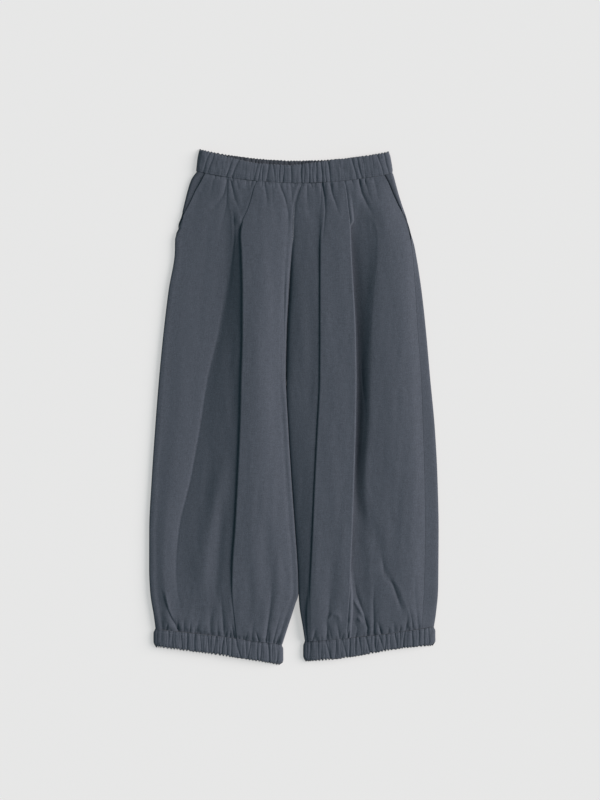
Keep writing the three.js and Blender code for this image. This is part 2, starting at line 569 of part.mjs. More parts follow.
function waistband() {
  const shape = { left: -BAND_HALF_WIDTH + 3, right: BAND_HALF_WIDTH + 4, narrowing: BAND_NARROWING };
  const grooves = [...WAIST_DEEP, ...WAIST_SHALLOW];
  const bottom = (x) => waistSeam(x) + SEAM_GAP / 2;
  const front = casingFront({ ...shape, grooves, height: 11, bottom, top: frontTop });
  const back = casingBack({ ...shape, grooves, bottom, top: backTop });
  const relief = gathers(WAIST_DEEP, WAIST_SHALLOW);
  const fade = (x) => smoothstep(BAND_HALF_WIDTH - Math.abs(x), 14, 28);
  const backRelief = (point) => 0.5 * relief(point) * fade(point.x);
  return [
    piece('waistband_front', wallGeometry(front, CASING, { raised: relief })),
    piece('waistband_back', wallGeometry(back, CASING, { raised: backRelief })),
  ];
}

function cuffPieces(name, cuff, deep, shallow) {
  const { left, right } = cuff;
  const top = (x) => cuffEdge(cuff, 'seam', x) - SEAM_GAP / 2;
  const bottom = (x) => cuffEdge(cuff, 'hem', x);
  const front = casingFront({ left, right, grooves: [...deep, ...shallow], height: 10, top, bottom });
  const back = casingBack({ left, right, grooves: [], top, bottom });
  return [
    piece(`${name}_front`, wallGeometry(front, CASING, { raised: gathers(deep, shallow) })),
    piece(`${name}_back`, wallGeometry(back, CASING)),
  ];
}

// A pocket facing: a strip under the slanted mouth, from the outline to well beneath the front
function pocketFacing(name, side, outline, mouth, end) {
  const levels = [WAIST_LEVEL, 356, 340, 322, end + 4];
  const grid = levels.map((level) => {
    const outer = outline(level) - side * 1;
    const inner = mouth(level) - side * FACING_UNDER;
    const row = [0, 0.25, 0.5, 0.75, 1].map((share) => {
      const x = lerp(outer, inner, share);
      const y = placeLevel(level, x, LEFT_CUFF);
      return new THREE.Vector3(x, y, lerp(2.9, 4.2, smoothstep(share, 0, 0.6)));
    });
    return side < 0 ? row : row.reverse();
  });
  return piece(name, wallGeometry(grid, CLOTH), cotton(FACING_COLOUR));
}

function legPanels() {
  const left = { side: -1, cuff: LEFT_CUFF, puckers: LEFT_PUCKERS };
  const right = { side: 1, cuff: RIGHT_CUFF, puckers: RIGHT_PUCKERS, sideSeam: true };
  const panels = {
    front_left: { ...left, section: leftFrontSection, steps: LEFT_STEPS, centreSeam: 'last' },
    front_right: { ...right, section: rightFrontSection, steps: RIGHT_STEPS, centreSeam: 'first' },
    back_left: { ...left, section: leftBackSection, steps: LEFT_BACK_STEPS },
    back_right: { ...right, section: rightBackSection, steps: RIGHT_BACK_STEPS },
  };
  return Object.entries(panels).map(([name, panel]) =>
    piece(
      name,
      wallGeometry(panelGrid(panel), CLOTH, { sideSeam: panel.sideSeam, centreSeam: panel.centreSeam }),
    ),
  );
}

const trousers = new THREE.Group();
trousers.name = 'cropped_trousers';
trousers.add(
  ...legPanels(),
  ...waistband(),
  ...cuffPieces('cuff_left', LEFT_CUFF, LEFT_CUFF_DEEP, LEFT_CUFF_SHALLOW),
  ...cuffPieces('cuff_right', RIGHT_CUFF, RIGHT_CUFF_DEEP, RIGHT_CUFF_SHALLOW),
  pocketFacing('pocket_facing_left', -1, leftLine.outline, leftMouth, POCKET_END.left),
  pocketFacing('pocket_facing_right', 1, rightLine.outline, rightLine.side, POCKET_END.right),
);

export default trousers;
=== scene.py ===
import math
from types import SimpleNamespace as Named

import bpy
import numpy as np
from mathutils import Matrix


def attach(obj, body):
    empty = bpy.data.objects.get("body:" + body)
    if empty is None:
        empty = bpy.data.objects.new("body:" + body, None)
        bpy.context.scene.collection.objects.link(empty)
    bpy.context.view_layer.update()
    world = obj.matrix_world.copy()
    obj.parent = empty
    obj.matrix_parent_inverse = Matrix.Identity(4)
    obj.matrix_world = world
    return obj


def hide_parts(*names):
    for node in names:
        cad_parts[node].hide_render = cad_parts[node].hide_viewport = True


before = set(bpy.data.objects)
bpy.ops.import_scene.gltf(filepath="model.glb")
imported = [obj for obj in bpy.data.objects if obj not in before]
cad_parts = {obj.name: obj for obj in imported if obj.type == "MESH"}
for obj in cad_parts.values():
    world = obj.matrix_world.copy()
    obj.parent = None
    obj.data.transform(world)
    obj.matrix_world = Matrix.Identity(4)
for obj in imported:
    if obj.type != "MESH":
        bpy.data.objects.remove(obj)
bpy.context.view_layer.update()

MM = 0.001

# Walls and the gaps between them, as in the solids
CLOTH = 1.5
SHELL = 1.0  # a shell's thickness, its upper face level with the solid's
CASING = 2.6
SEAM_GAP = 0.3
CENTRE_GAP = 0.08  # between the shells at the centre seam
FOLD_RADIUS = 0.9
LAYER_GAP = 0.4
PRESSED_HEIGHT = 3.2  # folds press no cloth lower than this
ON_FLOOR = CLOTH / 2
STEP = 1.35  # between the columns of a front panel's points
BACK_STEP = 4
SEAM_STEP = 1.5  # between its rows past the fine level, up and down, and between those levels
MIDDLE_STEP = 8
FINE_LEVEL = 290
CASING_STEP = 0.6

# Levels up the garment
WAIST_LEVEL = 370
CUFF_LEVEL = -378
CROTCH_LEVEL = 50
TUCK_LEVEL = 304  # each pleat is stitched down as far as this
SEAM_REACH = 120

# The waistband
BAND_HALF_WIDTH = 162
BAND_TILT = -0.016
WAIST_SAG = 18
FRONT_DIP = Named(depth=7, centre=-34, inner=20, outer=115)  # of the front's upper edge below the back's
BACK_TOP = Named(middle=407.6, rise=18.2)


# A table's rows, each with its values under the column names
def table(columns, *rows):
    return [Named(**dict(zip(columns.split(), row))) for row in rows]


# Where the lines of the left leg's front cross each level: its outline, the foot of the pleat's slope,
# the pleat's fold and the inner edge
LEFT_LINES = table(
    "level outline foot fold inner",
    (370, -158.5, -104, -59, 14),
    (355, -168, -104, -64, 9),
    (340, -173.5, -104, -68, 5),
    (322, -179, -102, -74, 2.5),
    (304, -184.5, -99, -82, 1.5),
    (280, -194.9, -98.5, -85.5, 1),
    (258, -195.1, -101, -84, -1.2),
    (192, -205.5, -110, -82.2, -5),
    (126, -213.5, -121, -82.2, -8.6),
    (44, -221.5, -140, -84.2, -10.4),
    (-39, -228, -153, -86.4, -6.5),
    (-121, -233.5, -168, -90, -1.5),
    (-204, -237.5, -187, -94.5, 4.5),
    (-270, -237.6, -192, -99, 9),
    (-302, -236.4, -190, -99.5, 10),
    (-319, -235.1, -187, -98.5, 4),
    (-358, -229.5, -180, -94, -10.5),
    (-378, -227, -177, -92, -17),
)

# And how high the cloth's middle lies there, from the inner edge to the outline
LEFT_HEIGHTS = table(
    "level centre shoulder strip foot plateau edge",
    (370, 10.2, 10.8, 11.6, 10.4, 10, 9.2),
    (345, 10.2, 11.6, 13, 10, 9.2, 7.6),
    (300, 10.8, 13, 16, 10.6, 8.2, 6.9),
    (258, 11.4, 14.6, 18.6, 8.8, 7.6, 6.9),
    (192, 12, 15.6, 21, 6.3, 7.4, 6.9),
    (44, 12.4, 16, 22.4, 4.4, 7.4, 6.9),
    (-121, 12, 16, 22, 4.6, 8.2, 6.9),
    (-270, 11.4, 15, 20, 7, 9.2, 7.6),
    (-335, 10.4, 13.6, 16, 10.2, 10.8, 8),
    (-366, 8.6, 11, 12.4, 9.8, 10.4, 7.6),
    (-378, 7.5, 9.6, 11.2, 8.6, 9.2, 7.6),
)

# The right leg's front: inner edge, crisp crease, the pleat's fold, the valley beside it, the brow
# where the cloth has risen again, its crest, the side seam, and the leg's outline past it
RIGHT_LINES = table(
    "level inner crease fold valley brow crest side outline",
    (370, 14, 50, 85, 97, 108, 130, 151.5, 166.6),
    (355, 9, 51, 88, 98.5, 112, 134, 159, 170.7),
    (340, 5, 51, 90, 100.5, 118, 139, 165.5, 175),
    (322, 2.5, 50, 92, 102.5, 126, 147, 174.5, 181.3),
    (304, 1.5, 48.5, 94.5, 103, 133, 153, 185, 188.7),
    (280, 1, 46.5, 95.7, 98.4, 138, 158, 193.5, 197.7),
    (258, -1.2, 46, 96.4, 99, 138, 162, 198, 203),
    (192, -5, 45.5, 99.9, 102.6, 133, 166, 203, 213.4),
    (126, -8.6, 45.5, 103.3, 106.6, 129.5, 169, 207, 220.7),
    (44, -10.4, 45, 104.5, 109, 127.5, 172, 213, 228),
    (-39, -6.5, 41, 103.2, 107, 125, 176, 216, 235.7),
    (-121, -1.5, 37, 100.8, 105, 120, 179, 218.5, 240),
    (-204, 4.5, 33.5, 98, 108, 124, 182, 219.5, 241.8),
    (-270, 9, 30.5, 95.4, 106, 126, 184, 218.5, 241.4),
    (-302, 10, 29, 94.5, 104, 127, 184, 217.5, 241.1),
    (-319, 11, 28.5, 93, 103, 126, 184, 217, 240.5),
    (-358, 17.5, 29, 90, 100, 124, 183, 215, 237),
    (-378, 20.5, 31, 89, 99, 123, 182, 214.5, 234),
)

RIGHT_HEIGHTS = table(
    "level centre flank strip valley brow crest slope side",
    (370, 10.2, 10.8, 11.6, 11, 11, 10.8, 10, 9.2),
    (345, 10.2, 11.6, 13, 12.2, 12.4, 12.4, 10.2, 7.8),
    (300, 10.4, 13.8, 16, 9.4, 14, 14.5, 11, 7),
    (258, 10.8, 15.8, 18.6, 6.8, 15.6, 16.4, 13, 7.2),
    (192, 11, 18.4, 20.6, 4.5, 15.6, 17, 13.2, 7.4),
    (44, 11.2, 20.2, 22.4, 3.7, 15.2, 16.8, 13.5, 7.6),
    (-60, 11, 19.8, 22, 4, 14.8, 16.4, 13.2, 7.6),
    (-121, 10.8, 19.6, 22, 7.4, 14.2, 16, 13, 7.6),
    (-270, 10.8, 17.4, 20, 12, 14.2, 15.5, 12.5, 7.6),
    (-340, 10.2, 12.8, 17, 11.5, 13, 14, 11.5, 7.6),
    (-366, 8.4, 9.6, 13, 9, 10.6, 11, 9.8, 7.6),
    (-378, 7.5, 7.6, 11.2, 8.6, 9.4, 9.6, 9, 7.6),
)

# The left pocket's mouth, and the levels at which the pockets end
LEFT_MOUTH = table(
    "level x",
    (370, -143.5),
    (355, -151),
    (340, -160),
    (322, -169.5),
    (305, -180.5),
)
POCKET_END = dict(left=305, right=296)

# A pocket's facing: how far it reaches under the front, how far below the front's middle it lies there
# and where it shows, and how low it ends at the outline
FACING_REACH = 18
FACING_DROP = dict(left=Named(under=1.45, shown=1.45), right=Named(under=3, shown=0.6))
FACING_RISE = 2.2
FACING_END = Named(height=3, before=2.5, past=0.5)

# The left front's outer edge, as it rolls under the leg below its pocket
WRAP_RUN = 34
ROLL_HALF_WIDTH = 4
ROLL_LEAD = 8
ROLL_UNDER = 4

# How each pleat opens below its stitches and closes again above the cuff, and how deep it folds under
LEFT_PLEAT, RIGHT_PLEAT = table(
    "opens closes shut open",
    ((-6, 40), (CUFF_LEVEL, -300), 3, 7),
    ((-6, 100), (-200, -40), 3, 6),
)
STITCHED_END = (-14, 2)  # where the stitches' hold fades, above and below the end of the stitched part
CUFF_HOLD = (138, 38)  # and how far above the cuff its seam starts and ends to hold the pleat flat

# Tucks that run down from the waist seam, each along a path, with its depth at the seam and its half
# width. They fade along their length.
WAIST_TUCKS = table(
    "path depth wide",
    (((-131, 374), (-137, 340)), 0.9, 3.5),
    (((-109, 373), (-113, 352), (-124, 335), (-142, 316)), 1.9, 3),
    (((-107, 373), (-109, 335), (-117, 296), (-124, 270)), 1, 2.2),
    (((-102, 373), (-96, 345), (-85, 318)), 2.4, 3),
    (((-92, 372), (-86, 346)), 1, 2.6),
    (((-74, 371), (-74, 345)), 0.8, 3),
    (((-47, 371), (-43, 348), (-41, 325)), 1.9, 2.4),
    (((-34, 370), (-33, 350), (-32, 318)), 1, 2.6),
    (((-23, 370), (-13, 345), (-7, 318), (-7, 280)), 1.8, 2),
    (((-11, 370), (-9, 350)), 1, 2),
    (((-3, 370), (-1, 345), (1, 318)), 1.2, 2),
    (((16, 370), (9, 352), (4, 336), (2, 310)), 1, 2.4),
    (((24, 369), (24, 345), (27, 312)), 1.8, 3),
    (((36, 369), (38, 345)), 1, 3),
    (((49, 369), (53, 345), (54, 322), (52, 296), (49, 270)), 2.8, 2.2),
    (((61, 370), (65, 352), (72, 332), (79, 310)), 2.4, 2.4),
    (((74, 371), (77, 350)), 0.8, 3),
    (((99, 372), (103, 350)), 0.7, 2.6),
    (((110, 374), (114, 352), (123, 334), (136, 310)), 3.4, 3),
    (((119, 374), (126, 350), (133, 335)), 1.6, 2.8),
    (((134, 376), (140, 350), (146, 330)), 1.2, 3.5),
)

# Puckers that run up from each cuff seam
LEFT_PUCKERS = table(
    "path depth wide",
    (((-214, -372), (-218, -350)), 1.4, 2.4),
    (((-186, -374), (-198, -352), (-208, -330), (-219, -296)), 3.4, 3.4),
    (((-172, -376), (-180, -360)), 1.4, 2.4),
    (((-158, -380), (-157, -366), (-154, -350)), 2.8, 2.4),
    (((-147, -380), (-145, -360)), 1.2, 2.4),
    (((-135, -382), (-136, -355), (-128, -318)), 2.2, 4),
    (((-124, -383), (-124, -350)), 1.8, 2),
    (((-113, -384), (-115, -350), (-118, -310)), 3, 2.8),
    (((-104, -385), (-103, -366)), 1.2, 1.8),
    (((-80, -388), (-80, -370)), 1, 2.4),
    (((-68, -390), (-66, -368), (-62, -345)), 1.8, 2.8),
    (((-55, -392), (-54, -374)), 1.2, 2),
    (((-45, -393), (-41, -362), (-36, -325), (-34, -290)), 3.2, 2.8),
    (((-33, -394), (-27, -368), (-18, -335)), 2.2, 2),
    (((-25, -394), (-17, -365), (-8, -335)), 1.4, 1.8),
)
RIGHT_PUCKERS = table(
    "path depth wide",
    (((38, -388), (37, -366)), 1.2, 2.4),
    (((57, -387), (57, -362), (60, -335), (62, -300)), 3.2, 3.2),
    (((78, -386), (75, -366), (70, -352)), 2.8, 2.2),
    (((92, -384), (89, -362)), 1.6, 2.2),
    (((104, -383), (107, -366), (100, -350)), 1.4, 2.2),
    (((122, -382), (124, -366), (117, -342), (105, -308), (100, -270)), 3, 2.4),
    (((134, -380), (134, -352), (133, -318), (136, -290)), 3, 2.6),
    (((146, -378), (143, -356)), 2, 2.4),
    (((160, -377), (159, -362)), 1.2, 2.4),
    (((172, -376), (168, -358)), 1.4, 2.4),
    (((187, -375), (190, -352), (188, -330)), 1.9, 2.2),
    (((199, -373), (197, -352), (190, -325)), 2.2, 2),
    (((207, -372), (206, -348), (202, -310), (203, -280)), 1.6, 2.8),
)

# Creases away from the seams, each along a path, with its depth and half width. A depth below
# nothing is a ridge. A crisp one has a sharp bottom.
LEFT_CREASES = table(
    "path depth wide crisp",
    (((-193, -360), (-204, -335), (-212, -300)), -1.9, 2.6, True),
    (((-108, -60), (-128, -160), (-146, -250), (-152, -340)), -2.6, 13, False),
    (((-112, -130), (-122, -210), (-130, -300), (-122, -350)), 1.9, 8, False),
    (((-46, -170), (-43, -260), (-40, -350)), 1.5, 9, False),
    (((-25, -230), (-22, -300), (-34, -370)), -1, 6, False),
    (((-72, -240), (-70, -330), (-76, -370)), 0.8, 7, False),
    (((-36, 300), (-32, 180), (-36, 40)), 0.5, 9, False),
    (((-13, 250), (-13.5, 160), (-15, 60), (-11, -10)), 1.2, 1.6, True),
    (((-140, 310), (-150, 230), (-160, 120)), 0.5, 12, False),
    (((-200, 180), (-205, 60), (-206, -80)), 0.4, 10, False),
)
RIGHT_CREASES = table(
    "path depth wide crisp",
    (((103, 200), (107, 130), (114, 60), (122, -12)), 1.8, 1.5, True),
    (((101, -140), (118, -180), (140, -230), (152, -262)), 1.1, 9, False),
    (((146, -240), (151, -272), (166, -294), (174, -318), (184, -345)), 2.1, 2.4, True),
    (((160, -272), (176, -300), (188, -330), (201, -362)), -0.9, 4, True),
    (((150, -250), (158, -276)), 1, 9, False),
    (((99, -316), (110, -334), (121, -352)), -2.2, 2.4, True),
    (((57, -366), (59, -350), (66, -342), (76, -344), (80, -360)), -1.8, 2.6, True),
    (((92, -358), (98, -348), (108, -347), (116, -360)), -2.2, 2.4, True),
    (((172, -100), (168, -190), (176, -260)), 1, 12, False),
    (((70, 260), (72, 120), (74, -60)), 0.4, 10, False),
    (((28, 200), (30, 60), (24, -60)), 0.6, 8, False),
    (((160, 330), (163, 200), (160, 60)), 0.7, 9, False),
    (((66, -240), (62, -300), (60, -340)), 1, 7, False),
    (((84, -180), (80, -260), (84, -340)), -0.5, 6, False),
)

# The grooves of each casing: where one crosses its seam, and how far it leans by the other edge
WAIST_GROOVES = table(
    "at depth wide lean",
    (-160, 1.5, 2, 4), (-148, 1.8, 1.8, 6), (-140, 1.2, 1.5, 6),
    (-110, 1.2, 1.8, 8), (-101, 2, 2, 9), (-64, 1.2, 1.5, 4),
    (-58, 1, 1.5, 5), (-51, 1.1, 1.5, 1), (-43, 2.1, 1.9, 2),
    (-29, 1.1, 1.5, -4), (-22, 1.1, 1.3, 0), (-15.7, 1.3, 1.5, 1),
    (-2.5, 1.7, 1.7, 0), (14, 1.7, 1.6, 1), (20, 1, 1.2, 0),
    (27, 1.4, 1.5, 1), (33, 1.2, 1.4, 1), (40, 1.2, 1.4, 0),
    (49, 1.8, 1.6, 0), (55, 1, 1.3, 0), (63, 2, 1.8, -3),
    (106, 1.6, 1.8, -5), (114, 2, 1.8, -4), (121, 1, 1.5, -2),
    (150, 1.5, 1.6, -5), (159, 1.4, 1.6, -3),
)
LEFT_CUFF_GROOVES = table(
    "at depth wide lean",
    (-205, 1.1, 1.5, 0), (-198, 1.4, 1.5, 0), (-184, 1.2, 1.6, 1),
    (-174, 1.5, 1.6, 0), (-162, 1.8, 2.4, 0), (-152, 1.3, 1.5, 1),
    (-141, 1.3, 1.5, 3), (-135, 1.2, 1.4, 0), (-126, 2, 1.8, -5),
    (-121, 1.2, 1.3, 0), (-114, 2.1, 1.8, -3), (-109, 1.2, 1.4, 0),
    (-101, 1.2, 1.5, 0), (-94, 1.4, 1.6, 8), (-77, 1.4, 1.6, 0),
    (-69, 1.6, 1.6, -5), (-58, 1.3, 1.5, 0), (-51, 1.5, 1.6, -3),
    (-41, 2.1, 1.8, 3), (-34, 1.3, 1.4, 1), (-26, 1.2, 1.5, 0),
)
RIGHT_CUFF_GROOVES = table(
    "at depth wide lean",
    (29, 1.2, 1.6, 0), (42, 1.3, 1.6, 1), (55, 1.8, 1.8, 7),
    (71, 1.3, 1.5, 0), (79, 1.2, 1.4, 1), (82, 1.5, 1.5, 7),
    (94, 1.3, 1.5, 0), (103, 1.3, 1.5, 1), (110, 1.9, 1.7, 3),
    (120, 1.9, 1.7, 8), (135, 2.1, 1.8, 2), (143, 1.5, 1.6, 7),
    (153, 1.2, 1.5, 0), (161, 1.2, 1.5, 1), (169, 1.8, 1.7, 3),
    (177, 1.3, 1.5, 0), (185, 1.9, 1.8, -3), (197, 1.3, 1.6, 1),
    (208, 1.2, 1.5, 1), (217, 1.2, 1.5, 0), (225, 1.2, 1.5, 0),
)

# Each cuff's ends, and its seam and hem at both ends, with how far they bow down between them
LEFT_CUFF, RIGHT_CUFF = table(
    "left right seam hem bow wave seam_bow",
    (-229, -16, (-367.5, -394), (-396.6, -427.2), -1.6, 0, -1.5),
    (18.5, 235.5, (-388.5, -364), (-420.5, -394), 1, 2.2, 2.5),
)

# How far each casing narrows to its edge, how deep it is gathered, how round its corners are and how
# deep the scallops along its edge, then the seed, depth and spacing of its fine gathers
BAND_SHAPE, CUFF_SHAPE = table(
    "narrowing gather corner scallop seed fine spacing",
    (0.035, 1, 0.8, 1.9, 41, 0.26, 1),
    (0, 1.08, 3.4, 3.2, 42, 0.4, 0.9),
)
BAND_ENDS = (-BAND_HALF_WIDTH + 2, BAND_HALF_WIDTH + 4)
FRONT_HEM = 1.4  # how far the waistband's back half shows above its front half
BACK_HEM = 2.2  # how far a cuff's back half shows below its front half
BAND_HEIGHT = 11  # of the front half's middle above the floor
CUFF_HEIGHT = 10

# A casing's cross section: rows of points up its outer face, over its edge, down its inner face and
# round its base. The lines of stitches pinch the outer face, at a share of its height and by a depth.
CASING_ROWS = Named(outer=15, turn=7, inner=8, base=5)
STITCH_LINES = ((0.08, 0.4), (0.93, 0.3))
PINCH = 0.05
DEEPEST_GROOVE = 2.5
SCALLOP = 5.4  # between the fine scallops that the elastic leaves along a casing's edge

# Puckers that the stitches leave along a gathered seam
WAIST_PUCKERS = dict(first=-132, last=132, reach=-10, strength=1)
CUFF_PUCKERS = dict(reach=13, strength=1.5)

# How the cloth swells off its seams: how high, and how far off it has risen, sinks and is flat again
WAIST_SWELL, CUFF_SWELL = table(
    "height risen sinks flat",
    (1.1, 9, 14, 45),
    (2, 8, 12, 42),
)

# Shallow waves down the leg and a finer crumple: strength, lean against the leg, size and seed
LONG_WAVES = table(
    "strength lean size seed",
    (0.42, 0.06, (17, 120), 11),
    (0.2, -0.08, (8, 60), 12),
)
CRUMPLE = table(
    "strength lean size seed",
    (0.24, 0.25, (11, 26), 13),
    (0.1, -0.3, (6, 15), 14),
)
CRUMPLE_MIDDLE = 0.25
LATTICE = Named(points=160, left=-300, bottom=-460)

# Rows of stitches: the pitch and length of a stitch, its thread's radius, and the rings that shape it,
# each with its share of the length, its rise and its thickness
STITCH = Named(pitch=3.2, long=2.3, radius=0.24, margin=3, sides=6)
STITCH_RINGS = ((0, -0.4, 0.6), (0.16, 0, 1), (0.5, 0.14, 1.05), (0.84, 0, 1), (1, -0.4, 0.6))
SEAM_ROW = 2
HEM_ROW = 12
ROW_ENDS = 8

# Each piece's cut in metres: its width and length, its area, how it is held and what it rests on
CUTS = table(
    "node flat area held rests_on",
    ("front_left", (0.33, 0.79), 0.205, "laid", "back_left_cloth"),
    ("front_right", (0.33, 0.79), 0.205, "laid", "back_right_cloth"),
    ("back_left", (0.28, 0.79), 0.185, "laid", ()),
    ("back_right", (0.28, 0.79), 0.185, "laid", ()),
    ("waistband_front", (0.42, 0.036), None, "gathered", "waistband_back_cloth"),
    ("waistband_back", (0.42, 0.036), None, "gathered", ()),
    ("cuff_left_front", (0.28, 0.03), None, "gathered", "cuff_left_back_cloth"),
    ("cuff_left_back", (0.26, 0.03), None, "gathered", ()),
    ("cuff_right_front", (0.28, 0.03), None, "gathered", "cuff_right_back_cloth"),
    ("cuff_right_back", (0.26, 0.03), None, "gathered", ()),
    ("pocket_facing_left", (0.045, 0.08), 0.0022, "laid", "back_left_cloth"),
    ("pocket_facing_right", (0.045, 0.09), 0.0026, "laid", "back_right_cloth"),
)

# Colours and weave
SLATE = (0.0665, 0.0745, 0.094)
# The casings' back halves are painted darker: painted shade for the dark rim that shows past their front
# halves
BACK_HALF_PAINTED_SHADE = 0.6
# The pocket facings are painted a little darker: painted shade in the pocket mouth under the front's
# edge
FACING_PAINTED_SHADE = 0.92
THREAD_SHADE = 1.5
MOTTLE = ((0.36, 0.74), (0.64, 1.25))  # a fleck's share of the noise, and its tone against the cloth
THREAD_PITCH = 0.00062
WAVE_PERIOD = 0.314  # of a wave texture at scale 1
COTTON = {"Roughness": 0.88, "Sheen Weight": 0.12, "Sheen Roughness": 0.45, "Specular IOR Level": 0.25}

# The studio: its floor, the soft sky that fills from above, and the key light from the right
FLOOR = Named(size=8, drop=0.0004, colour=(0.35, 0.35, 0.35), roughness=0.9, glow=0.45)
GLOW_COLOUR = (1.035, 1, 0.985, 1)
SKY = Named(fill=(0.62, 1.03, 1.12, 1), strength=0.25, shown=(0.72, 0.72, 0.72, 1))
KEY = Named(energy=4.35, colour=(1.07, 0.99, 0.975), spread=42, elevation=31, azimuth=14)

# The photograph's frame, and the height at which its scale holds, in metres
PHOTO = Named(height=800, mm_per_pixel=1.65, centre_x=12.4, centre_y=10.7)
CAMERA_HEIGHT = 3.3
GARMENT_HEIGHT = 0.012
SENSOR_HEIGHT = 36


def lerp(a, b, t):
    return a + (b - a) * t


def ease(x, low, high):
    t = np.clip((x - low) / (high - low), 0, 1)
    return t * t * (3 - 2 * t)


# A smooth curve through one column of a table, with no overshoot between its rows
def curve_through(rows, name):
    rows = sorted(rows, key=lambda row: row.level)
    at = np.array([row.level for row in rows], float)
    value = np.array([getattr(row, name) for row in rows], float)
    slopes = np.diff(value) / np.diff(at)
    before = np.concatenate([slopes[:1], slopes])
    after = np.concatenate([slopes, slopes[-1:]])
    total = np.where(before + after == 0, 1, before + after)
    tangents = np.where(before * after <= 0, 0, 2 * before * after / total)

    def curve(level):
        inside = np.clip(level, at[0], at[-1])
        i = np.clip(np.searchsorted(at, inside, side="right") - 1, 0, len(slopes) - 1)
        step = at[i + 1] - at[i]
        t = (inside - at[i]) / step
        leaving = t * (1 - t) ** 2 * step * tangents[i]
        arriving = t * t * (t - 1) * step * tangents[i + 1]
        return lerp(value[i], value[i + 1], t * t * (3 - 2 * t)) + leaving + arriving

    return curve


def curves_of(rows):
    return Named(**{name: curve_through(rows, name) for name in vars(rows[0]) if name != "level"})


left_line = curves_of(LEFT_LINES)
left_height = curves_of(LEFT_HEIGHTS)
right_line = curves_of(RIGHT_LINES)
right_height = curves_of(RIGHT_HEIGHTS)
left_mouth = curve_through(LEFT_MOUTH, "x")


def values_at(curves, level):
    return Named(**{name: curve(level) for name, curve in vars(curves).items()})


def sag(x):
    return (x / BAND_HALF_WIDTH) ** 2


def waist_seam(x):
    return WAIST_LEVEL - 1 + WAIST_SAG * sag(x) + BAND_TILT * x


def band_seam(x):
    return waist_seam(x) + SEAM_GAP / 2


def back_top(x):
    return BACK_TOP.middle + BACK_TOP.rise * sag(x) + BAND_TILT * x


def front_top(x):
    away = np.abs(x - FRONT_DIP.centre)
    dip = FRONT_DIP.depth * (1 - ease(away, FRONT_DIP.inner, FRONT_DIP.outer))
    return back_top(x) - FRONT_HEM - dip


def cuff_edge(cuff, edge, x):
    share = (x - cuff.left) / (cuff.right - cuff.left)
    turn = math.pi * np.clip(share, 0, 1)
    if edge == "seam":
        return lerp(*cuff.seam, share) - cuff.seam_bow * np.sin(turn)
    return lerp(*cuff.hem, share) - cuff.bow * np.sin(turn) - cuff.wave * np.sin(2 * turn)


# A level's true place: near a seam it follows the seam's own line
def place_level(level, x, cuff):
    near_waist = ease(level, WAIST_LEVEL - SEAM_REACH, WAIST_LEVEL)
    near_cuff = ease(-level, -CUFF_LEVEL - SEAM_REACH, -CUFF_LEVEL)
    to_waist = waist_seam(x) - SEAM_GAP / 2 - WAIST_LEVEL
    to_cuff = cuff_edge(cuff, "seam", x) + SEAM_GAP / 2 - CUFF_LEVEL
    return level + to_waist * near_waist + to_cuff * near_cuff


# The lengths of a line's steps, and how far along it each of its points is
def lengths(line):
    steps = np.linalg.norm(np.diff(line, axis=0), axis=1)
    return steps, np.concatenate([[0], np.cumsum(steps)])


# How deep a fold presses the cloth at each point: share runs from 0 to 1 along its path
def fold_depth(fold, crisp, x, y, fade):
    path = np.array(fold.path, float)
    steps = lengths(path)[0]
    nearest = np.full(x.shape, np.inf)
    share = np.zeros(x.shape)
    run = 0
    for (x0, y0), (x1, y1), long in zip(path[:-1], path[1:], steps):
        t = np.clip(((x - x0) * (x1 - x0) + (y - y0) * (y1 - y0)) / long**2, 0, 1)
        away = np.hypot(x - lerp(x0, x1, t), y - lerp(y0, y1, t))
        share = np.where(away < nearest, (run + t * long) / steps.sum(), share)
        nearest = np.minimum(nearest, away)
        run += long
    width = fold.wide * (1 + 0.5 * share)
    u = nearest / width
    profile = np.exp(0.35 - np.sqrt(u * u * 1.6 + 0.1225)) if crisp else np.exp(-u * u)
    return fold.depth * profile * fade(share)


# Tucks or puckers: deepest just off the seam, fading along their length
def pressed(folds, x, y, distance):
    held = 0.45 + 0.55 * ease(distance, 0, 7)
    return held * sum(fold_depth(fold, True, x, y, lambda share: (1 - share) ** 0.9) for fold in folds)


# The short fine puckers that the stitches leave along a gathered seam, from first to last
def seam_puckers(first, last, seam, reach, strength, seed):
    rng = np.random.default_rng(seed)
    folds = []
    at = first + 4
    while at < last - 4:
        long = reach * rng.uniform(0.3, 1) ** 2 * 2
        lean = 0.3 * long * rng.uniform(-1, 1)
        path = ((at, seam(at)), (at + lean, seam(at) + long))
        depth = strength * rng.uniform(0.9, 2.4)
        folds.append(Named(path=path, depth=depth, wide=rng.uniform(1.1, 2)))
        at += rng.uniform(3.5, 13)
    return folds


# How deep the free creases press the cloth
def creased(creases, x, y):
    def fade(share):
        return ease(share, 0, 0.3) * ease(1 - share, 0, 0.3)

    return sum(fold_depth(crease, crease.crisp, x, y, fade) for crease in creases)


# A creased pleat edge seen end on: over the edge, back under it, and out again below
def pleat_edge(edge, top, depth, side):
    r = FOLD_RADIUS
    return [
        (edge - side * (r + 2.6), top + 0.1),
        (edge - side * r, top),
        (edge, top - r),
        (edge - side * r, top - 2 * r),
        (edge - side * (depth - r), top - 2 * r - 0.1),
        (edge - side * depth, top - 3 * r - 0.1),
        (edge - side * (depth - r), top - 4 * r - 0.1),
    ]


# A pleat edge that is stitched flat: a low step in place of the open fold
def stitched_edge(edge, top, side):
    r = FOLD_RADIUS
    rise = 0.7 if side > 0 else 0
    over = ((r + 2.6, 0.1), (r, 0), (0.5, -0.1), (0.1, -0.7))
    beside = ((-0.6, -0.9), (-2, -0.9 + 0.6 * rise), (-4, -0.9 + rise))
    return [(edge - side * aside, top + drop) for aside, drop in (*over, *beside)]


# Two rows of points, mixed by a share from 0 to 1
def mix_points(first, second, share):
    return [tuple(lerp(a, b, share) for a, b in zip(one, two)) for one, two in zip(first, second)]


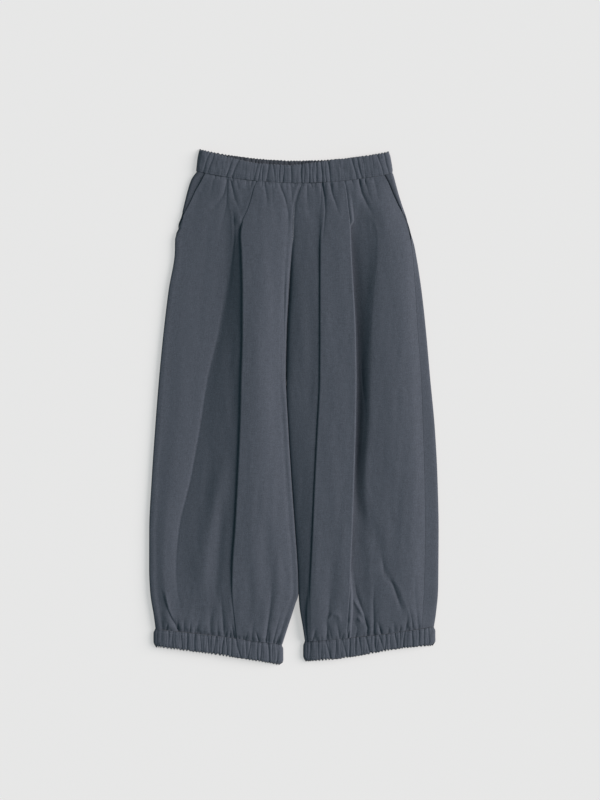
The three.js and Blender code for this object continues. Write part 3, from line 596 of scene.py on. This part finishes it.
# A front's edge at the centre seam, and below the crotch on the leg's inside, where it turns down
def inner_edge(inner, level, centre, side):
    dropped = ease(-level, -CROTCH_LEVEL - 30, -CROTCH_LEVEL + 30)
    aside = ease(dropped, 0.2, 0.55)
    seam_x = inner + side * (CENTRE_GAP / 2 + aside * (CLOTH / 2))
    sunk = lerp(centre, 4.6, 0.9 * ease(WAIST_LEVEL - level, 60, 200))
    return [
        (seam_x, lerp(sunk, CLOTH + LAYER_GAP, dropped)),
        (
            lerp(seam_x + side * 1.6, seam_x, dropped),
            lerp(lerp(sunk, centre, 0.55), centre - 2, dropped),
        ),
        (lerp(seam_x + side * 4, seam_x + side * 1.2, dropped), centre + 0.6),
    ]


# The left front's outer edge seen end on, turned under the leg as far as turned says
def rolled_edge(start, top, turned):
    half_turn = (top - ON_FLOOR) / 2
    turn_length = math.pi * (ROLL_HALF_WIDTH + half_turn) / 2
    whole = ROLL_LEAD + turned * (turn_length + ROLL_UNDER)
    points = []
    for share in (0, 0.25, 0.5, 0.75, 1):
        past = share * whole - ROLL_LEAD
        angle = math.pi * np.clip(past / turn_length, 0, 1)
        under = np.maximum(past - turn_length, 0)
        flat = np.maximum(-past, 0) + under
        x = start + flat - ROLL_HALF_WIDTH * np.sin(angle)
        points.append((x, ON_FLOOR + half_turn * (1 + np.cos(angle))))
    return points


# How far a pleat is held flat: by its own stitches below the waist, and by the cuff's seam
def sewn_flat(level):
    below_waist = ease(level, *(TUCK_LEVEL + past for past in STITCHED_END))
    return below_waist + ease(-level, *(-CUFF_LEVEL - above for above in CUFF_HOLD))


# How deep a pleat folds under at each level
def pleat_depth(pleat, level):
    opened = ease(TUCK_LEVEL - level, *pleat.opens) * ease(level, *pleat.closes)
    return lerp(pleat.shut, pleat.open, opened)


# A panel's section at each level: points across the leg at the middle of its wall, from the inner edge
def left_front_section(level):
    x = values_at(left_line, level)
    z = values_at(left_height, level)
    stitched = sewn_flat(level)
    fold = pleat_edge(x.fold, z.strip, pleat_depth(LEFT_PLEAT, level), -1)
    fold = mix_points(fold, stitched_edge(x.fold, z.strip, -1), stitched)
    ramp_top = fold[-1][1] - lerp(0.5, 0.1, stitched)
    ramp_x = x.fold - lerp(2, 5.5, stitched)
    shoulder_x = x.inner - 15
    wrapped = ease(POCKET_END["left"] - level, 0, WRAP_RUN)
    turn_x = lerp(left_mouth(level), x.outline + CLOTH / 2 + ROLL_HALF_WIDTH, wrapped)
    return [
        *inner_edge(x.inner, level, z.centre, -1),
        (x.inner - 9, lerp(z.centre, z.shoulder, 0.45)),
        (shoulder_x, z.shoulder),
        ((shoulder_x + x.fold) / 2, z.strip + 0.6),
        *fold,
        (ramp_x, ramp_top),
        (lerp(ramp_x, x.foot, 0.55), lerp(ramp_top, z.foot, 0.56)),
        (x.foot + 3, lerp(ramp_top, z.foot, 0.95)),
        (x.foot - 1, z.foot),
        (x.foot - 5, lerp(z.foot, z.plateau, 0.35)),
        (lerp(x.foot, turn_x, 0.5), z.plateau),
        *rolled_edge(turn_x, z.edge, wrapped),
    ]


def right_front_section(level):
    x = values_at(right_line, level)
    z = values_at(right_height, level)
    stitched = sewn_flat(level)
    soft_crease = [(x.crease - 4 + i, z.strip - 1.5 + 0.3 * i) for i in range(7)]
    soft = ease(level, 200, 330) + ease(-level, 240, 340)
    crease = mix_points(pleat_edge(x.crease, z.strip + 0.4, 3.4, -1)[::-1], soft_crease, soft)
    fold = pleat_edge(x.fold, z.strip, pleat_depth(RIGHT_PLEAT, level), 1)
    fold = mix_points(fold, stitched_edge(x.fold, z.strip, 1), stitched)
    below = fold[-1][1] - lerp(0.5, 0.1, stitched)
    under = lerp(-4.6, 5.5, stitched)
    floor_x = lerp(x.fold - 1.2, lerp(x.fold, x.valley, 0.75), stitched)
    return [
        *inner_edge(x.inner, level, z.centre, 1),
        (lerp(x.inner, x.crease, 0.5), lerp(z.centre, z.flank, 0.7)),
        (x.crease - lerp(2, 5.5, soft), z.flank),
        *crease,
        ((x.crease + x.fold) / 2, z.strip + 0.9),
        *fold,
        (x.fold + under, lerp(below, z.valley, lerp(0.45, 0.2, stitched))),
        (floor_x, lerp(below, z.valley, 0.92)),
        (x.valley, z.valley),
        (x.brow - 1.5, lerp(z.valley, z.brow, 0.9)),
        (x.brow + 3, z.brow + 0.3),
        (x.crest, z.crest),
        (lerp(x.crest, x.side, 0.6), z.slope),
        (x.side - SEAM_GAP / 2, z.side),
    ]


def left_back_section(level):
    outline = left_line.outline(level)
    retreat = ease(POCKET_END["left"] - level, 8, WRAP_RUN - 4)
    front_ends = CLOTH / 2 + ROLL_HALF_WIDTH + ROLL_UNDER
    end = outline + lerp(CLOTH / 2, front_ends + SEAM_GAP, retreat)
    flat = np.full_like(level, ON_FLOOR)
    return [(left_line.inner(level) - SEAM_GAP / 2, flat), (end + 12, flat), (end, flat)]


# The right back rolls up over the leg's edge to the side seam, below its pocket
def right_back_section(level):
    outline = right_line.outline(level)
    rolled = ease(POCKET_END["right"] - level, 0, WRAP_RUN)
    flat = np.full_like(level, ON_FLOOR)
    seam = (right_line.side(level) + SEAM_GAP / 2, right_height.side(level))

    def mix(lying, up):
        return tuple(lerp(a, b, rolled) for a, b in zip(lying, up))

    return [
        (right_line.inner(level) + SEAM_GAP / 2, flat),
        (outline - 16, flat),
        mix((outline - 9, flat), (outline - 6, flat + 0.1)),
        mix((outline - 6, flat), (outline - 2, flat + 1.15)),
        mix((outline - 3, flat), (outline - CLOTH / 2, flat + 3.45)),
        mix((outline - CLOTH / 2, flat), seam),
    ]


# Points along a smooth line through each row's control points, about a step apart
def sample_sections(section, step):
    points = np.stack([np.stack([x, z], axis=-1) for x, z in section], axis=1)
    first = 2 * points[:, :1] - points[:, 1:2]
    last = 2 * points[:, -1:] - points[:, -2:-1]
    points = np.concatenate([first, points, last], axis=1)
    pieces = []
    for i in range(1, points.shape[1] - 2):
        p0, p1, p2, p3 = (points[:, i + k] for k in (-1, 0, 1, 2))
        d0, d1, d2 = (
            np.maximum(np.linalg.norm(b - a, axis=1, keepdims=True) ** 0.5, 1e-3)
            for a, b in ((p0, p1), (p1, p2), (p2, p3))
        )
        leaving = ((p1 - p0) / d0 - (p2 - p0) / (d0 + d1) + (p2 - p1) / d1) * d1
        arriving = ((p2 - p1) / d1 - (p3 - p1) / (d1 + d2) + (p3 - p2) / d2) * d1
        longest = np.linalg.norm(p2 - p1, axis=1).max()
        count = max(2, int(math.ceil(longest / step)))
        for t in np.arange(count) / count:
            bend = (2 * p1 - 2 * p2 + leaving + arriving) * t**3
            bend = bend + (3 * p2 - 3 * p1 - 2 * leaving - arriving) * t**2
            pieces.append(p1 + leaving * t + bend)
    pieces.append(points[:, -2])
    return np.stack(pieces, axis=1)


# The levels of a panel's rows, closer together near the seams
def row_levels():
    upper = np.arange(WAIST_LEVEL, FINE_LEVEL, -SEAM_STEP)
    middle = np.arange(FINE_LEVEL, -FINE_LEVEL, -MIDDLE_STEP)
    lower = np.arange(-FINE_LEVEL, CUFF_LEVEL, -SEAM_STEP)
    return np.concatenate([upper, middle, lower, [CUFF_LEVEL]])


# How high the cloth swells at a distance from a seam
def swelling(swell, distance):
    risen = swell.height * ease(distance, 0, swell.risen)
    return risen * (1 - ease(distance, swell.sinks, swell.flat))


# The grid of one leg panel at the middle of its wall: rows from the waist down, each from left to right
def panel_grid(section, side, cuff, puckers, creases, step):
    level = row_levels().astype(float)
    xz = sample_sections(section(level), step)
    x, z = xz[..., 0], xz[..., 1]
    y = place_level(level[:, None], x, cuff)
    below_waist = waist_seam(x) - y
    above_cuff = y - cuff_edge(cuff, "seam", x)
    at_waist = seam_puckers(seam=waist_seam, seed=33, **WAIST_PUCKERS)
    depth = pressed([*WAIST_TUCKS, *at_waist], x, y, below_waist)
    depth = depth + pressed(puckers, x, y, above_cuff)
    depth = depth + creased(creases, x, y)
    depth = depth + soft_waves(x, y)
    depth = depth - swelling(WAIST_SWELL, below_waist)
    depth = depth - swelling(CUFF_SWELL, above_cuff)
    sunk = z - depth * ease(z, 5, 9)
    z = np.maximum(sunk, np.minimum(z, PRESSED_HEIGHT))
    grid = np.stack([x, y, z], axis=-1)
    return grid[:, ::-1] if side < 0 else grid


# Smooth noise from -1 to 1 over the cloth, in patches of the given size
def patches(x, y, size, seed):
    lattice = np.random.default_rng(seed).uniform(-1, 1, (LATTICE.points, LATTICE.points))
    u = (x - LATTICE.left) / size[0]
    v = (y - LATTICE.bottom) / size[1]
    i = np.floor(u).astype(int) % (LATTICE.points - 1)
    j = np.floor(v).astype(int) % (LATTICE.points - 1)
    s = ease(u % 1, 0, 1)
    t = ease(v % 1, 0, 1)
    lower = lerp(lattice[i, j], lattice[i + 1, j], s)
    upper = lerp(lattice[i, j + 1], lattice[i + 1, j + 1], s)
    return lerp(lower, upper, t)


# The shallow unevenness that crisp cotton keeps after it is smoothed by hand: long soft waves down
# the leg, and a finer crumple whose ridges are sharper than its hollows
def soft_waves(x, y):
    def wave(row):
        return patches(x + row.lean * y, y, row.size, row.seed)

    long_waves = sum(row.strength * wave(row) for row in LONG_WAVES)
    crumple = sum(row.strength * np.abs(wave(row)) for row in CRUMPLE)
    return long_waves + crumple - CRUMPLE_MIDDLE


# The directions out of the cloth over a grid. The rim stands upright along a seam: at both ends of a
# panel, and at the columns where it has a side seam or the centre seam.
def row_normals(grid, side_seam, centre_column):
    down = np.gradient(grid, axis=0)
    across = np.gradient(grid, axis=1)
    normal = np.cross(down, across)
    normal[[0, -1], :, 1] = 0
    normal /= np.linalg.norm(normal, axis=2, keepdims=True)
    if side_seam:
        normal[:, -1, 0] *= 1 - ease(np.abs(normal[:, -1, 2]), 0.4, 0.7)
    if centre_column is not None:
        upright = ease(np.abs(normal[:, centre_column, 2]), 0.15, 0.35)
        normal[:, centre_column, 0] *= 1 - upright
    return normal / np.linalg.norm(normal, axis=2, keepdims=True)


face_of = {}  # each piece's upper face, as rows of points, for the stitches on it
made = {}  # each piece, by the name of the node that it stands for


# A closed shell over a grid of points. Its upper face lies at upper above the grid and its lower
# face at lower below it, along the cloth's own direction.
def shell_mesh(name, grid, upper, lower, side_seam=False, centre_column=None):
    rows, columns = grid.shape[:2]
    normal = row_normals(grid, side_seam, centre_column)
    faces = []
    face_of[name] = grid + normal * upper
    points = np.concatenate([face_of[name], grid - normal * lower]).reshape(-1, 3)
    points[:, 2] = np.maximum(points[:, 2], 0)
    index = np.arange(rows * columns).reshape(rows, columns)
    below = index + rows * columns

    def quads(a, b, c, d):
        faces.append(np.stack([a.ravel(), b.ravel(), c.ravel(), d.ravel()], axis=1))

    quads(index[:-1, :-1], index[1:, :-1], index[1:, 1:], index[:-1, 1:])
    quads(below[:-1, :-1], below[:-1, 1:], below[1:, 1:], below[1:, :-1])
    quads(index[:-1, 0], below[:-1, 0], below[1:, 0], index[1:, 0])
    quads(index[:-1, -1], index[1:, -1], below[1:, -1], below[:-1, -1])
    quads(index[0, :-1], index[0, 1:], below[0, 1:], below[0, :-1])
    quads(index[-1, :-1], below[-1, :-1], below[-1, 1:], index[-1, 1:])
    return new_object(name, points, np.concatenate(faces).tolist(), sharp=50)


# An object of points in millimetres and faces, with the edges past the sharp angle left sharp
def new_object(name, points, faces, sharp=None):
    mesh = bpy.data.meshes.new(name)
    mesh.from_pydata((points * MM).tolist(), [], faces)
    mesh.validate()
    mesh.shade_smooth()
    if sharp:
        mesh.set_sharp_from_angle(angle=math.radians(sharp))
    new = bpy.data.objects.new(name, mesh)
    bpy.context.scene.collection.objects.link(new)
    return new


# How far the cloth of a casing sinks at each groove, at a share of the way from its seam to its edge
def groove_depth(grooves, x, share):
    total = np.zeros(np.broadcast(x, share).shape)
    for k, groove in enumerate(grooves):
        bend = 0.5 * np.sin(5 * share + 2.1 * k)
        centre = groove.at + groove.lean * share + bend
        u = (x - centre) / groove.wide
        strength = 0.75 + 0.25 * np.cos(3.3 * share + 1.7 * k)
        total += strength * groove.depth * np.exp(0.3 - np.sqrt(2.4 * u * u + 0.09))
    return DEEPEST_GROOVE * (1 - np.exp(-1.25 * total / DEEPEST_GROOVE))


# Fine, uneven gathers along a casing
def fine_grooves(left, right, seed, depth=1, spacing=1):
    rng = np.random.default_rng(seed)
    grooves = []
    at = left + 5
    while at < right - 5:
        deep = depth * rng.uniform(0.7, 1.5)
        wide = spacing * rng.uniform(1, 2.6)
        grooves.append(Named(at=at, depth=deep, wide=wide, lean=rng.uniform(-2, 2)))
        at += spacing * rng.uniform(4.5, 10)
    return grooves


# A casing as a closed tube of cloth: path gives its middle from end to end, and its loop runs up the
# outer face, over the edge and down the inner face.
def casing_mesh(name, path, grooves, top, bottom, shape):
    run = lengths(path)[1]
    count = int(run[-1] / CASING_STEP)
    even = np.linspace(0, run[-1], count + 1)
    x = np.interp(even, run, path[:, 0])
    z = np.interp(even, run, path[:, 1])
    tangent = np.stack([np.gradient(x), np.gradient(z)], axis=1)
    tangent /= np.linalg.norm(tangent, axis=1, keepdims=True)
    normal = np.stack([-tangent[:, 1], tangent[:, 0]], axis=1)

    outer = np.linspace(0, 1, CASING_ROWS.outer)
    turn = np.linspace(0, math.pi, CASING_ROWS.turn)[1:-1]
    inner = np.linspace(1, 0, CASING_ROWS.inner)
    base = np.linspace(math.pi, 2 * math.pi, CASING_ROWS.base)[1:-1]
    share = np.concatenate([outer, np.ones_like(turn), inner, np.zeros_like(base)])
    across = np.concatenate([np.ones_like(outer), np.cos(turn), -np.ones_like(inner), np.cos(base)])
    beyond = np.concatenate([np.zeros_like(outer), np.sin(turn), np.zeros_like(inner), np.sin(base)])

    xs = x[:, None]
    shares = share[None, :]
    sunk = shape.gather * groove_depth(grooves, xs, shares)
    facing = np.clip(across, 0, 1)[None, :]
    pinch = sum(deep * np.exp(-(((shares - at) / PINCH) ** 2)) for at, deep in STITCH_LINES)
    round_over = 1.3 - 0.7 * (2 * shares - 1) ** 6
    uneven = 0.3 * patches(xs + 3 * shares, 9 * shares, (5, 3), 21)
    uneven = uneven + 0.25 * patches(xs, 4 * shares, (13, 6), 22)
    relief = (round_over - sunk - pinch + uneven) * facing
    half = CASING / 2 - 0.35
    offset = across[None, :] * half + relief
    middle = (x[0] + x[-1]) / 2
    half_run = (x[-1] - x[0]) / 2
    round_off = shape.corner * (ease(shares, 0.8, 1) ** 2 + 0.5 * (1 - ease(shares, 0, 0.22)))
    at_end = ease(np.abs(xs - middle), half_run - 14, half_run)
    narrowed = xs * (1 - shape.narrowing * shares)
    placed = narrowed - np.sign(xs - middle) * round_off * at_end
    px = placed + normal[:, :1] * offset
    pz = z[:, None] + normal[:, 1:] * offset
    edge_dip = 0.4 * groove_depth(grooves, xs, np.ones_like(shares)) * ease(shares, 0.6, 1)
    phase = 2 * math.pi * xs / SCALLOP + 2.5 * patches(xs, xs * 0, (14, 14), 23)
    scallops = (0.5 + 0.5 * np.cos(phase)) * (0.65 + 0.35 * patches(xs, xs * 0, (9, 9), 24))
    edge_dip = edge_dip + shape.scallop * scallops * ease(shares, 0.85, 1)
    y_bottom = bottom(placed)
    y_top = top(placed)
    toward = np.sign(y_top - y_bottom)
    inset = half * toward
    py = lerp(y_bottom + inset * 0.15, y_top - inset, shares)
    py = py + toward * (half * beyond[None, :] * np.where(beyond > 0, 1, 0.15) - edge_dip)
    points = np.stack([px, py, np.maximum(pz, 0)], axis=-1)
    face_of[name] = points[:, : CASING_ROWS.outer]
    index = np.arange(points[..., 0].size).reshape(points.shape[:2])
    following = np.roll(index, -1, axis=1)
    ring = (index[:-1], following[:-1], following[1:], index[1:])
    faces = np.stack([corners.ravel() for corners in ring], axis=1).tolist()
    faces += [index[0][::-1].tolist(), index[-1].tolist()]
    if toward.ravel()[0] < 0:
        faces = [face[::-1] for face in faces]
    return new_object(name, points.reshape(-1, 3), faces, sharp=60)


# The middle line of a casing's front half: up from the back half, across, and down to it again
def front_path(left, right, height):
    def middle(x):
        u = (2 * x - left - right) / (right - left)
        return height - 1.2 * u**2 - 1.4 * u**6

    def end(x, side):
        return [
            (x - side * CASING / 2, CASING + LAYER_GAP),
            (x - side * 1.6, CASING + 1.8),
            (x - side * 3, height - 4.4),
            (x - side * 10, height - 2.5),
        ]

    inside = [(x, middle(x)) for x in np.linspace(left + 22, right - 22, 26)]
    controls = np.array([*end(left, -1), *inside, *end(right, 1)[::-1]], float)
    section = [(np.array([x]), np.array([z])) for x, z in controls]
    return sample_sections(section, 0.5)[0]


def back_path(left, right):
    return np.array([(x, CASING / 2) for x in np.linspace(left, right, 60)])


# A casing's front and back halves, each from its seam, the bottom line, to its own edge
def casing_pair(name, ends, shape, grooves, back_seed, height, front_edge, back_edge, seam):
    grooves = [*grooves, *fine_grooves(*ends, shape.seed, shape.fine, shape.spacing)]
    path = front_path(*ends, height)
    made[f"{name}_front"] = casing_mesh(f"{name}_front_cloth", path, grooves, front_edge, seam, shape)
    grooves = fine_grooves(*ends, back_seed)
    path = back_path(*ends)
    made[f"{name}_back"] = casing_mesh(f"{name}_back_cloth", path, grooves, back_edge, seam, shape)


# The strip of cloth that shows in a pocket's mouth, from under the front's edge to the outline
def pocket_facing(where, side, outline, mouth, front):
    drop = FACING_DROP[where]
    level = np.linspace(WAIST_LEVEL, POCKET_END[where] + 4, 40)
    outer = outline(level) - side
    inner = mouth(level) - side * FACING_REACH
    share = np.linspace(0, 1, 20)[None, :]
    x = lerp(outer[:, None], inner[:, None], share)
    y = place_level(level[:, None], x, LEFT_CUFF)
    beyond_mouth = side * (x - mouth(level)[:, None])
    strip = (outer - mouth(level))[:, None] * side
    under = front(level)[:, None] - drop.under
    shown = front(level)[:, None] - drop.shown
    ends = ease(beyond_mouth, strip - FACING_END.before, strip + FACING_END.past)
    z = lerp(under, shown, ease(beyond_mouth, 0, FACING_RISE))
    z = lerp(z, FACING_END.height, ends)
    grid = np.stack([x, y, z], axis=-1)
    if side > 0:
        grid = grid[:, ::-1]
    name = f"pocket_facing_{where}"
    made[name] = shell_mesh(f"{name}_cloth", grid, CLOTH / 2, SHELL - CLOTH / 2)


def cuff_puckers(cuff, seed):
    ends = (cuff.left, cuff.right)
    return seam_puckers(*ends, lambda x: cuff_edge(cuff, "seam", x), seed=seed, **CUFF_PUCKERS)


# The four leg panels. A front's shell is thinner than its solid, and a back's is as thick.
def leg_panels():
    upper = CLOTH / 2
    lower = SHELL - upper
    left = dict(side=-1, cuff=LEFT_CUFF, creases=LEFT_CREASES)
    left.update(puckers=[*LEFT_PUCKERS, *cuff_puckers(LEFT_CUFF, 31)])
    right = dict(side=1, cuff=RIGHT_CUFF, creases=RIGHT_CREASES)
    right.update(puckers=[*RIGHT_PUCKERS, *cuff_puckers(RIGHT_CUFF, 32)])
    for name, section, step, under, centre_column, sides in (
        ("front_left", left_front_section, STEP, lower, -1, left),
        ("front_right", right_front_section, STEP, lower, 0, right),
        ("back_left", left_back_section, BACK_STEP, upper, None, left),
        ("back_right", right_back_section, BACK_STEP, upper, None, right),
    ):
        grid = panel_grid(section, step=step, **sides)
        has_seam = name.endswith("right")
        made[name] = shell_mesh(f"{name}_cloth", grid, upper, under, has_seam, centre_column)


def set_inputs(node, values):
    for name, value in values.items():
        node.inputs[name].default_value = value


# Plain-woven cotton: fine crossing threads, uneven in thickness, in a slightly mottled slate grey
def cotton(name, shade):
    colour = [shade * part for part in SLATE]
    material = bpy.data.materials.new(name)
    material.use_nodes = True
    tree = material.node_tree
    nodes = tree.nodes
    link = tree.links.new
    shader = nodes["Principled BSDF"]
    set_inputs(shader, COTTON)
    place = nodes.new("ShaderNodeTexCoord")

    def stretched_noise(scale, stretch):
        mapping = nodes.new("ShaderNodeMapping")
        set_inputs(mapping, {"Scale": stretch})
        link(place.outputs["Object"], mapping.inputs["Vector"])
        grain = nodes.new("ShaderNodeTexNoise")
        set_inputs(grain, {"Scale": scale, "Detail": 2})
        link(mapping.outputs["Vector"], grain.inputs["Vector"])
        return grain.outputs["Fac"]

    def threads(direction):
        wave = nodes.new("ShaderNodeTexWave")
        wave.wave_type = "BANDS"
        wave.bands_direction = direction
        set_inputs(wave, {"Scale": WAVE_PERIOD / THREAD_PITCH, "Distortion": 1.2})
        set_inputs(wave, {"Detail": 1, "Detail Scale": 0.02})
        link(place.outputs["Object"], wave.inputs["Vector"])
        return wave.outputs["Fac"]

    def math_node(operation, a, b):
        step = nodes.new("ShaderNodeMath")
        step.operation = operation
        for socket, value in zip(step.inputs, (a, b)):
            if isinstance(value, (int, float)):
                socket.default_value = value
            else:
                link(value, socket)
        return step.outputs[0]

    warp = stretched_noise(110, (9, 1, 1))
    weft = stretched_noise(110, (1, 9, 1))
    cloudy = stretched_noise(850, (1, 1, 1))
    fleck = math_node("ADD", math_node("MULTIPLY", warp, 0.25), math_node("MULTIPLY", weft, 0.2))
    mottle = math_node("ADD", fleck, math_node("MULTIPLY", cloudy, 0.55))
    ramp = nodes.new("ShaderNodeValToRGB")
    for stop, (position, tone) in zip(ramp.color_ramp.elements, MOTTLE):
        stop.position = position
        stop.color = (*(part * tone for part in colour), 1)
    link(mottle, ramp.inputs["Fac"])
    link(ramp.outputs["Color"], shader.inputs["Base Color"])

    weave = math_node("MAXIMUM", threads("X"), threads("Y"))
    height = math_node("ADD", math_node("MULTIPLY", weave, 0.6), math_node("MULTIPLY", mottle, 1.6))
    bump = nodes.new("ShaderNodeBump")
    set_inputs(bump, {"Strength": 0.5, "Distance": 0.00022})
    link(height, bump.inputs["Height"])
    link(bump.outputs["Normal"], shader.inputs["Normal"])
    return material


# A smooth material, which glows a little where it is the floor's
def plain(name, colour, roughness, glow):
    material = bpy.data.materials.new(name)
    material.use_nodes = True
    shader = material.node_tree.nodes["Principled BSDF"]
    set_inputs(shader, {"Base Color": (*colour, 1), "Roughness": roughness})
    set_inputs(shader, {"Emission Color": GLOW_COLOUR, "Emission Strength": glow})
    return material


cloth = cotton("slate_cotton", 1)
# A darker copy of the cotton: painted shade for the dark rims of the casings' back halves
painted_shade_cloth = cotton("slate_cotton_painted_shade", BACK_HALF_PAINTED_SHADE)
# A slightly darker copy of the cotton: painted shade for the pocket facings in their mouths
facing_painted_shade_cloth = cotton("slate_cotton_facing_painted_shade", FACING_PAINTED_SHADE)

leg_panels()
band = (BAND_ENDS, BAND_SHAPE, WAIST_GROOVES, 3, BAND_HEIGHT)
casing_pair("waistband", *band, front_top, back_top, band_seam)
for side, cuff, grooves, back_seed in (
    ("left", LEFT_CUFF, LEFT_CUFF_GROOVES, 5),
    ("right", RIGHT_CUFF, RIGHT_CUFF_GROOVES, 8),
):
    casing_pair(
        f"cuff_{side}",
        (cuff.left, cuff.right),
        CUFF_SHAPE,
        grooves,
        back_seed,
        CUFF_HEIGHT,
        lambda x: cuff_edge(cuff, "hem", x),
        lambda x: cuff_edge(cuff, "hem", x) - BACK_HEM,
        lambda x: cuff_edge(cuff, "seam", x) - SEAM_GAP / 2,
    )
pocket_facing("left", -1, left_line.outline, left_mouth, left_height.edge)
pocket_facing("right", 1, right_line.outline, right_line.side, right_height.side)

for cut in CUTS:
    node = cut.node
    piece = made[node]
    is_facing = node.startswith("pocket")
    # The casings' back halves take the darker copy, as painted shade along their rims
    shows_painted_shade = node.startswith(("waist", "cuff")) and node.endswith("back")
    outer_cloth = painted_shade_cloth if shows_painted_shade else cloth
    # The pocket facings take their darker copy, as painted shade in the pocket mouths
    piece.data.materials.append(facing_painted_shade_cloth if is_facing else outer_cloth)
    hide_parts(node)
    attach(piece, "root")


# A row of sewn stitches along a line of points on the cloth, each a thread that comes up out of the
# cloth, runs a short way on it and goes back in
def stitch_row(name, line):
    run = lengths(line)[1]
    starts = np.arange(STITCH.margin, run[-1] - STITCH.margin, STITCH.pitch)
    sides = STITCH.sides
    around = np.arange(sides) * 2 * math.pi / sides
    points = []
    faces = []
    for start in starts:
        for k, (share, rise, fat) in enumerate(STITCH_RINGS):
            at = start + share * STITCH.long
            centre = np.array([np.interp(at, run, line[:, axis]) for axis in range(3)])
            ahead = np.array([np.interp(at + 0.3, run, line[:, axis]) for axis in range(3)]) - centre
            ahead /= np.linalg.norm(ahead)
            aside = np.cross(ahead, (0, 0, 1))
            aside /= np.linalg.norm(aside)
            up = np.cross(aside, ahead)
            first = len(points)
            for angle in around:
                spread = STITCH.radius * fat
                lifted = centre + up * (rise + spread * math.sin(angle))
                points.append(lifted + aside * spread * math.cos(angle))
            if k:
                for i in range(sides):
                    after = (i + 1) % sides
                    faces.append((first - sides + i, first - sides + after, first + after, first + i))
        last = len(points)
        start_ring = last - sides * len(STITCH_RINGS)
        faces.append(tuple(range(start_ring, start_ring + sides))[::-1])
        faces.append(tuple(range(last - sides, last)))
    row = new_object(name, np.array(points), faces)
    row.data.materials.append(thread)
    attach(row, "root")


thread = plain("slate_thread", tuple(THREAD_SHADE * part for part in SLATE), 0.6, glow=0)
for name in ("waistband_front", "cuff_left_front", "cuff_right_front"):
    stitch_row(f"{name}_stitches", face_of[f"{name}_cloth"][ROW_ENDS:-ROW_ENDS, SEAM_ROW])
for name in ("cuff_left_front", "cuff_right_front"):
    stitch_row(f"{name}_hem_stitches", face_of[f"{name}_cloth"][ROW_ENDS:-ROW_ENDS, HEM_ROW])

bpy.ops.mesh.primitive_plane_add(size=FLOOR.size, location=(0, 0, -FLOOR.drop))
floor = bpy.context.object
floor.name = "floor"
paper = plain("floor_paper", FLOOR.colour, FLOOR.roughness, glow=FLOOR.glow)
floor.data.materials.append(paper)

# Past the floor's edge, the sky that shows is plain pale grey, and its cool fill light stays as it is
world = bpy.data.worlds.new("studio")
bpy.context.scene.world = world
world.use_nodes = True
sky = world.node_tree
fill = sky.nodes["Background"]
set_inputs(fill, {"Color": SKY.fill, "Strength": SKY.strength})
shown_sky = sky.nodes.new("ShaderNodeBackground")
set_inputs(shown_sky, {"Color": SKY.shown})
rays = sky.nodes.new("ShaderNodeLightPath")
sky_mix = sky.nodes.new("ShaderNodeMixShader")
sky.links.new(rays.outputs["Is Camera Ray"], sky_mix.inputs[0])
sky.links.new(fill.outputs["Background"], sky_mix.inputs[1])
sky.links.new(shown_sky.outputs["Background"], sky_mix.inputs[2])
sky.links.new(sky_mix.outputs[0], sky.nodes["World Output"].inputs["Surface"])

key = bpy.data.lights.new("key", "SUN")
key.energy = KEY.energy
key.color = KEY.colour
key.angle = math.radians(KEY.spread)
key_light = bpy.data.objects.new("key", key)
tilt = math.pi / 2 - math.radians(KEY.elevation)
key_light.rotation_euler = (0, tilt, math.radians(KEY.azimuth))
bpy.context.scene.collection.objects.link(key_light)
bpy.context.scene.view_settings.view_transform = "Standard"

camera_data = bpy.data.cameras.new("camera")
camera_data.sensor_fit = "VERTICAL"
camera_data.sensor_height = SENSOR_HEIGHT
half_height = PHOTO.height * PHOTO.mm_per_pixel * MM / 2
camera_data.lens = SENSOR_HEIGHT / 2 * (CAMERA_HEIGHT - GARMENT_HEIGHT) / half_height
camera = bpy.data.objects.new("camera", camera_data)
camera.location = (PHOTO.centre_x * MM, PHOTO.centre_y * MM, CAMERA_HEIGHT)
bpy.context.scene.collection.objects.link(camera)
bpy.context.scene.camera = camera
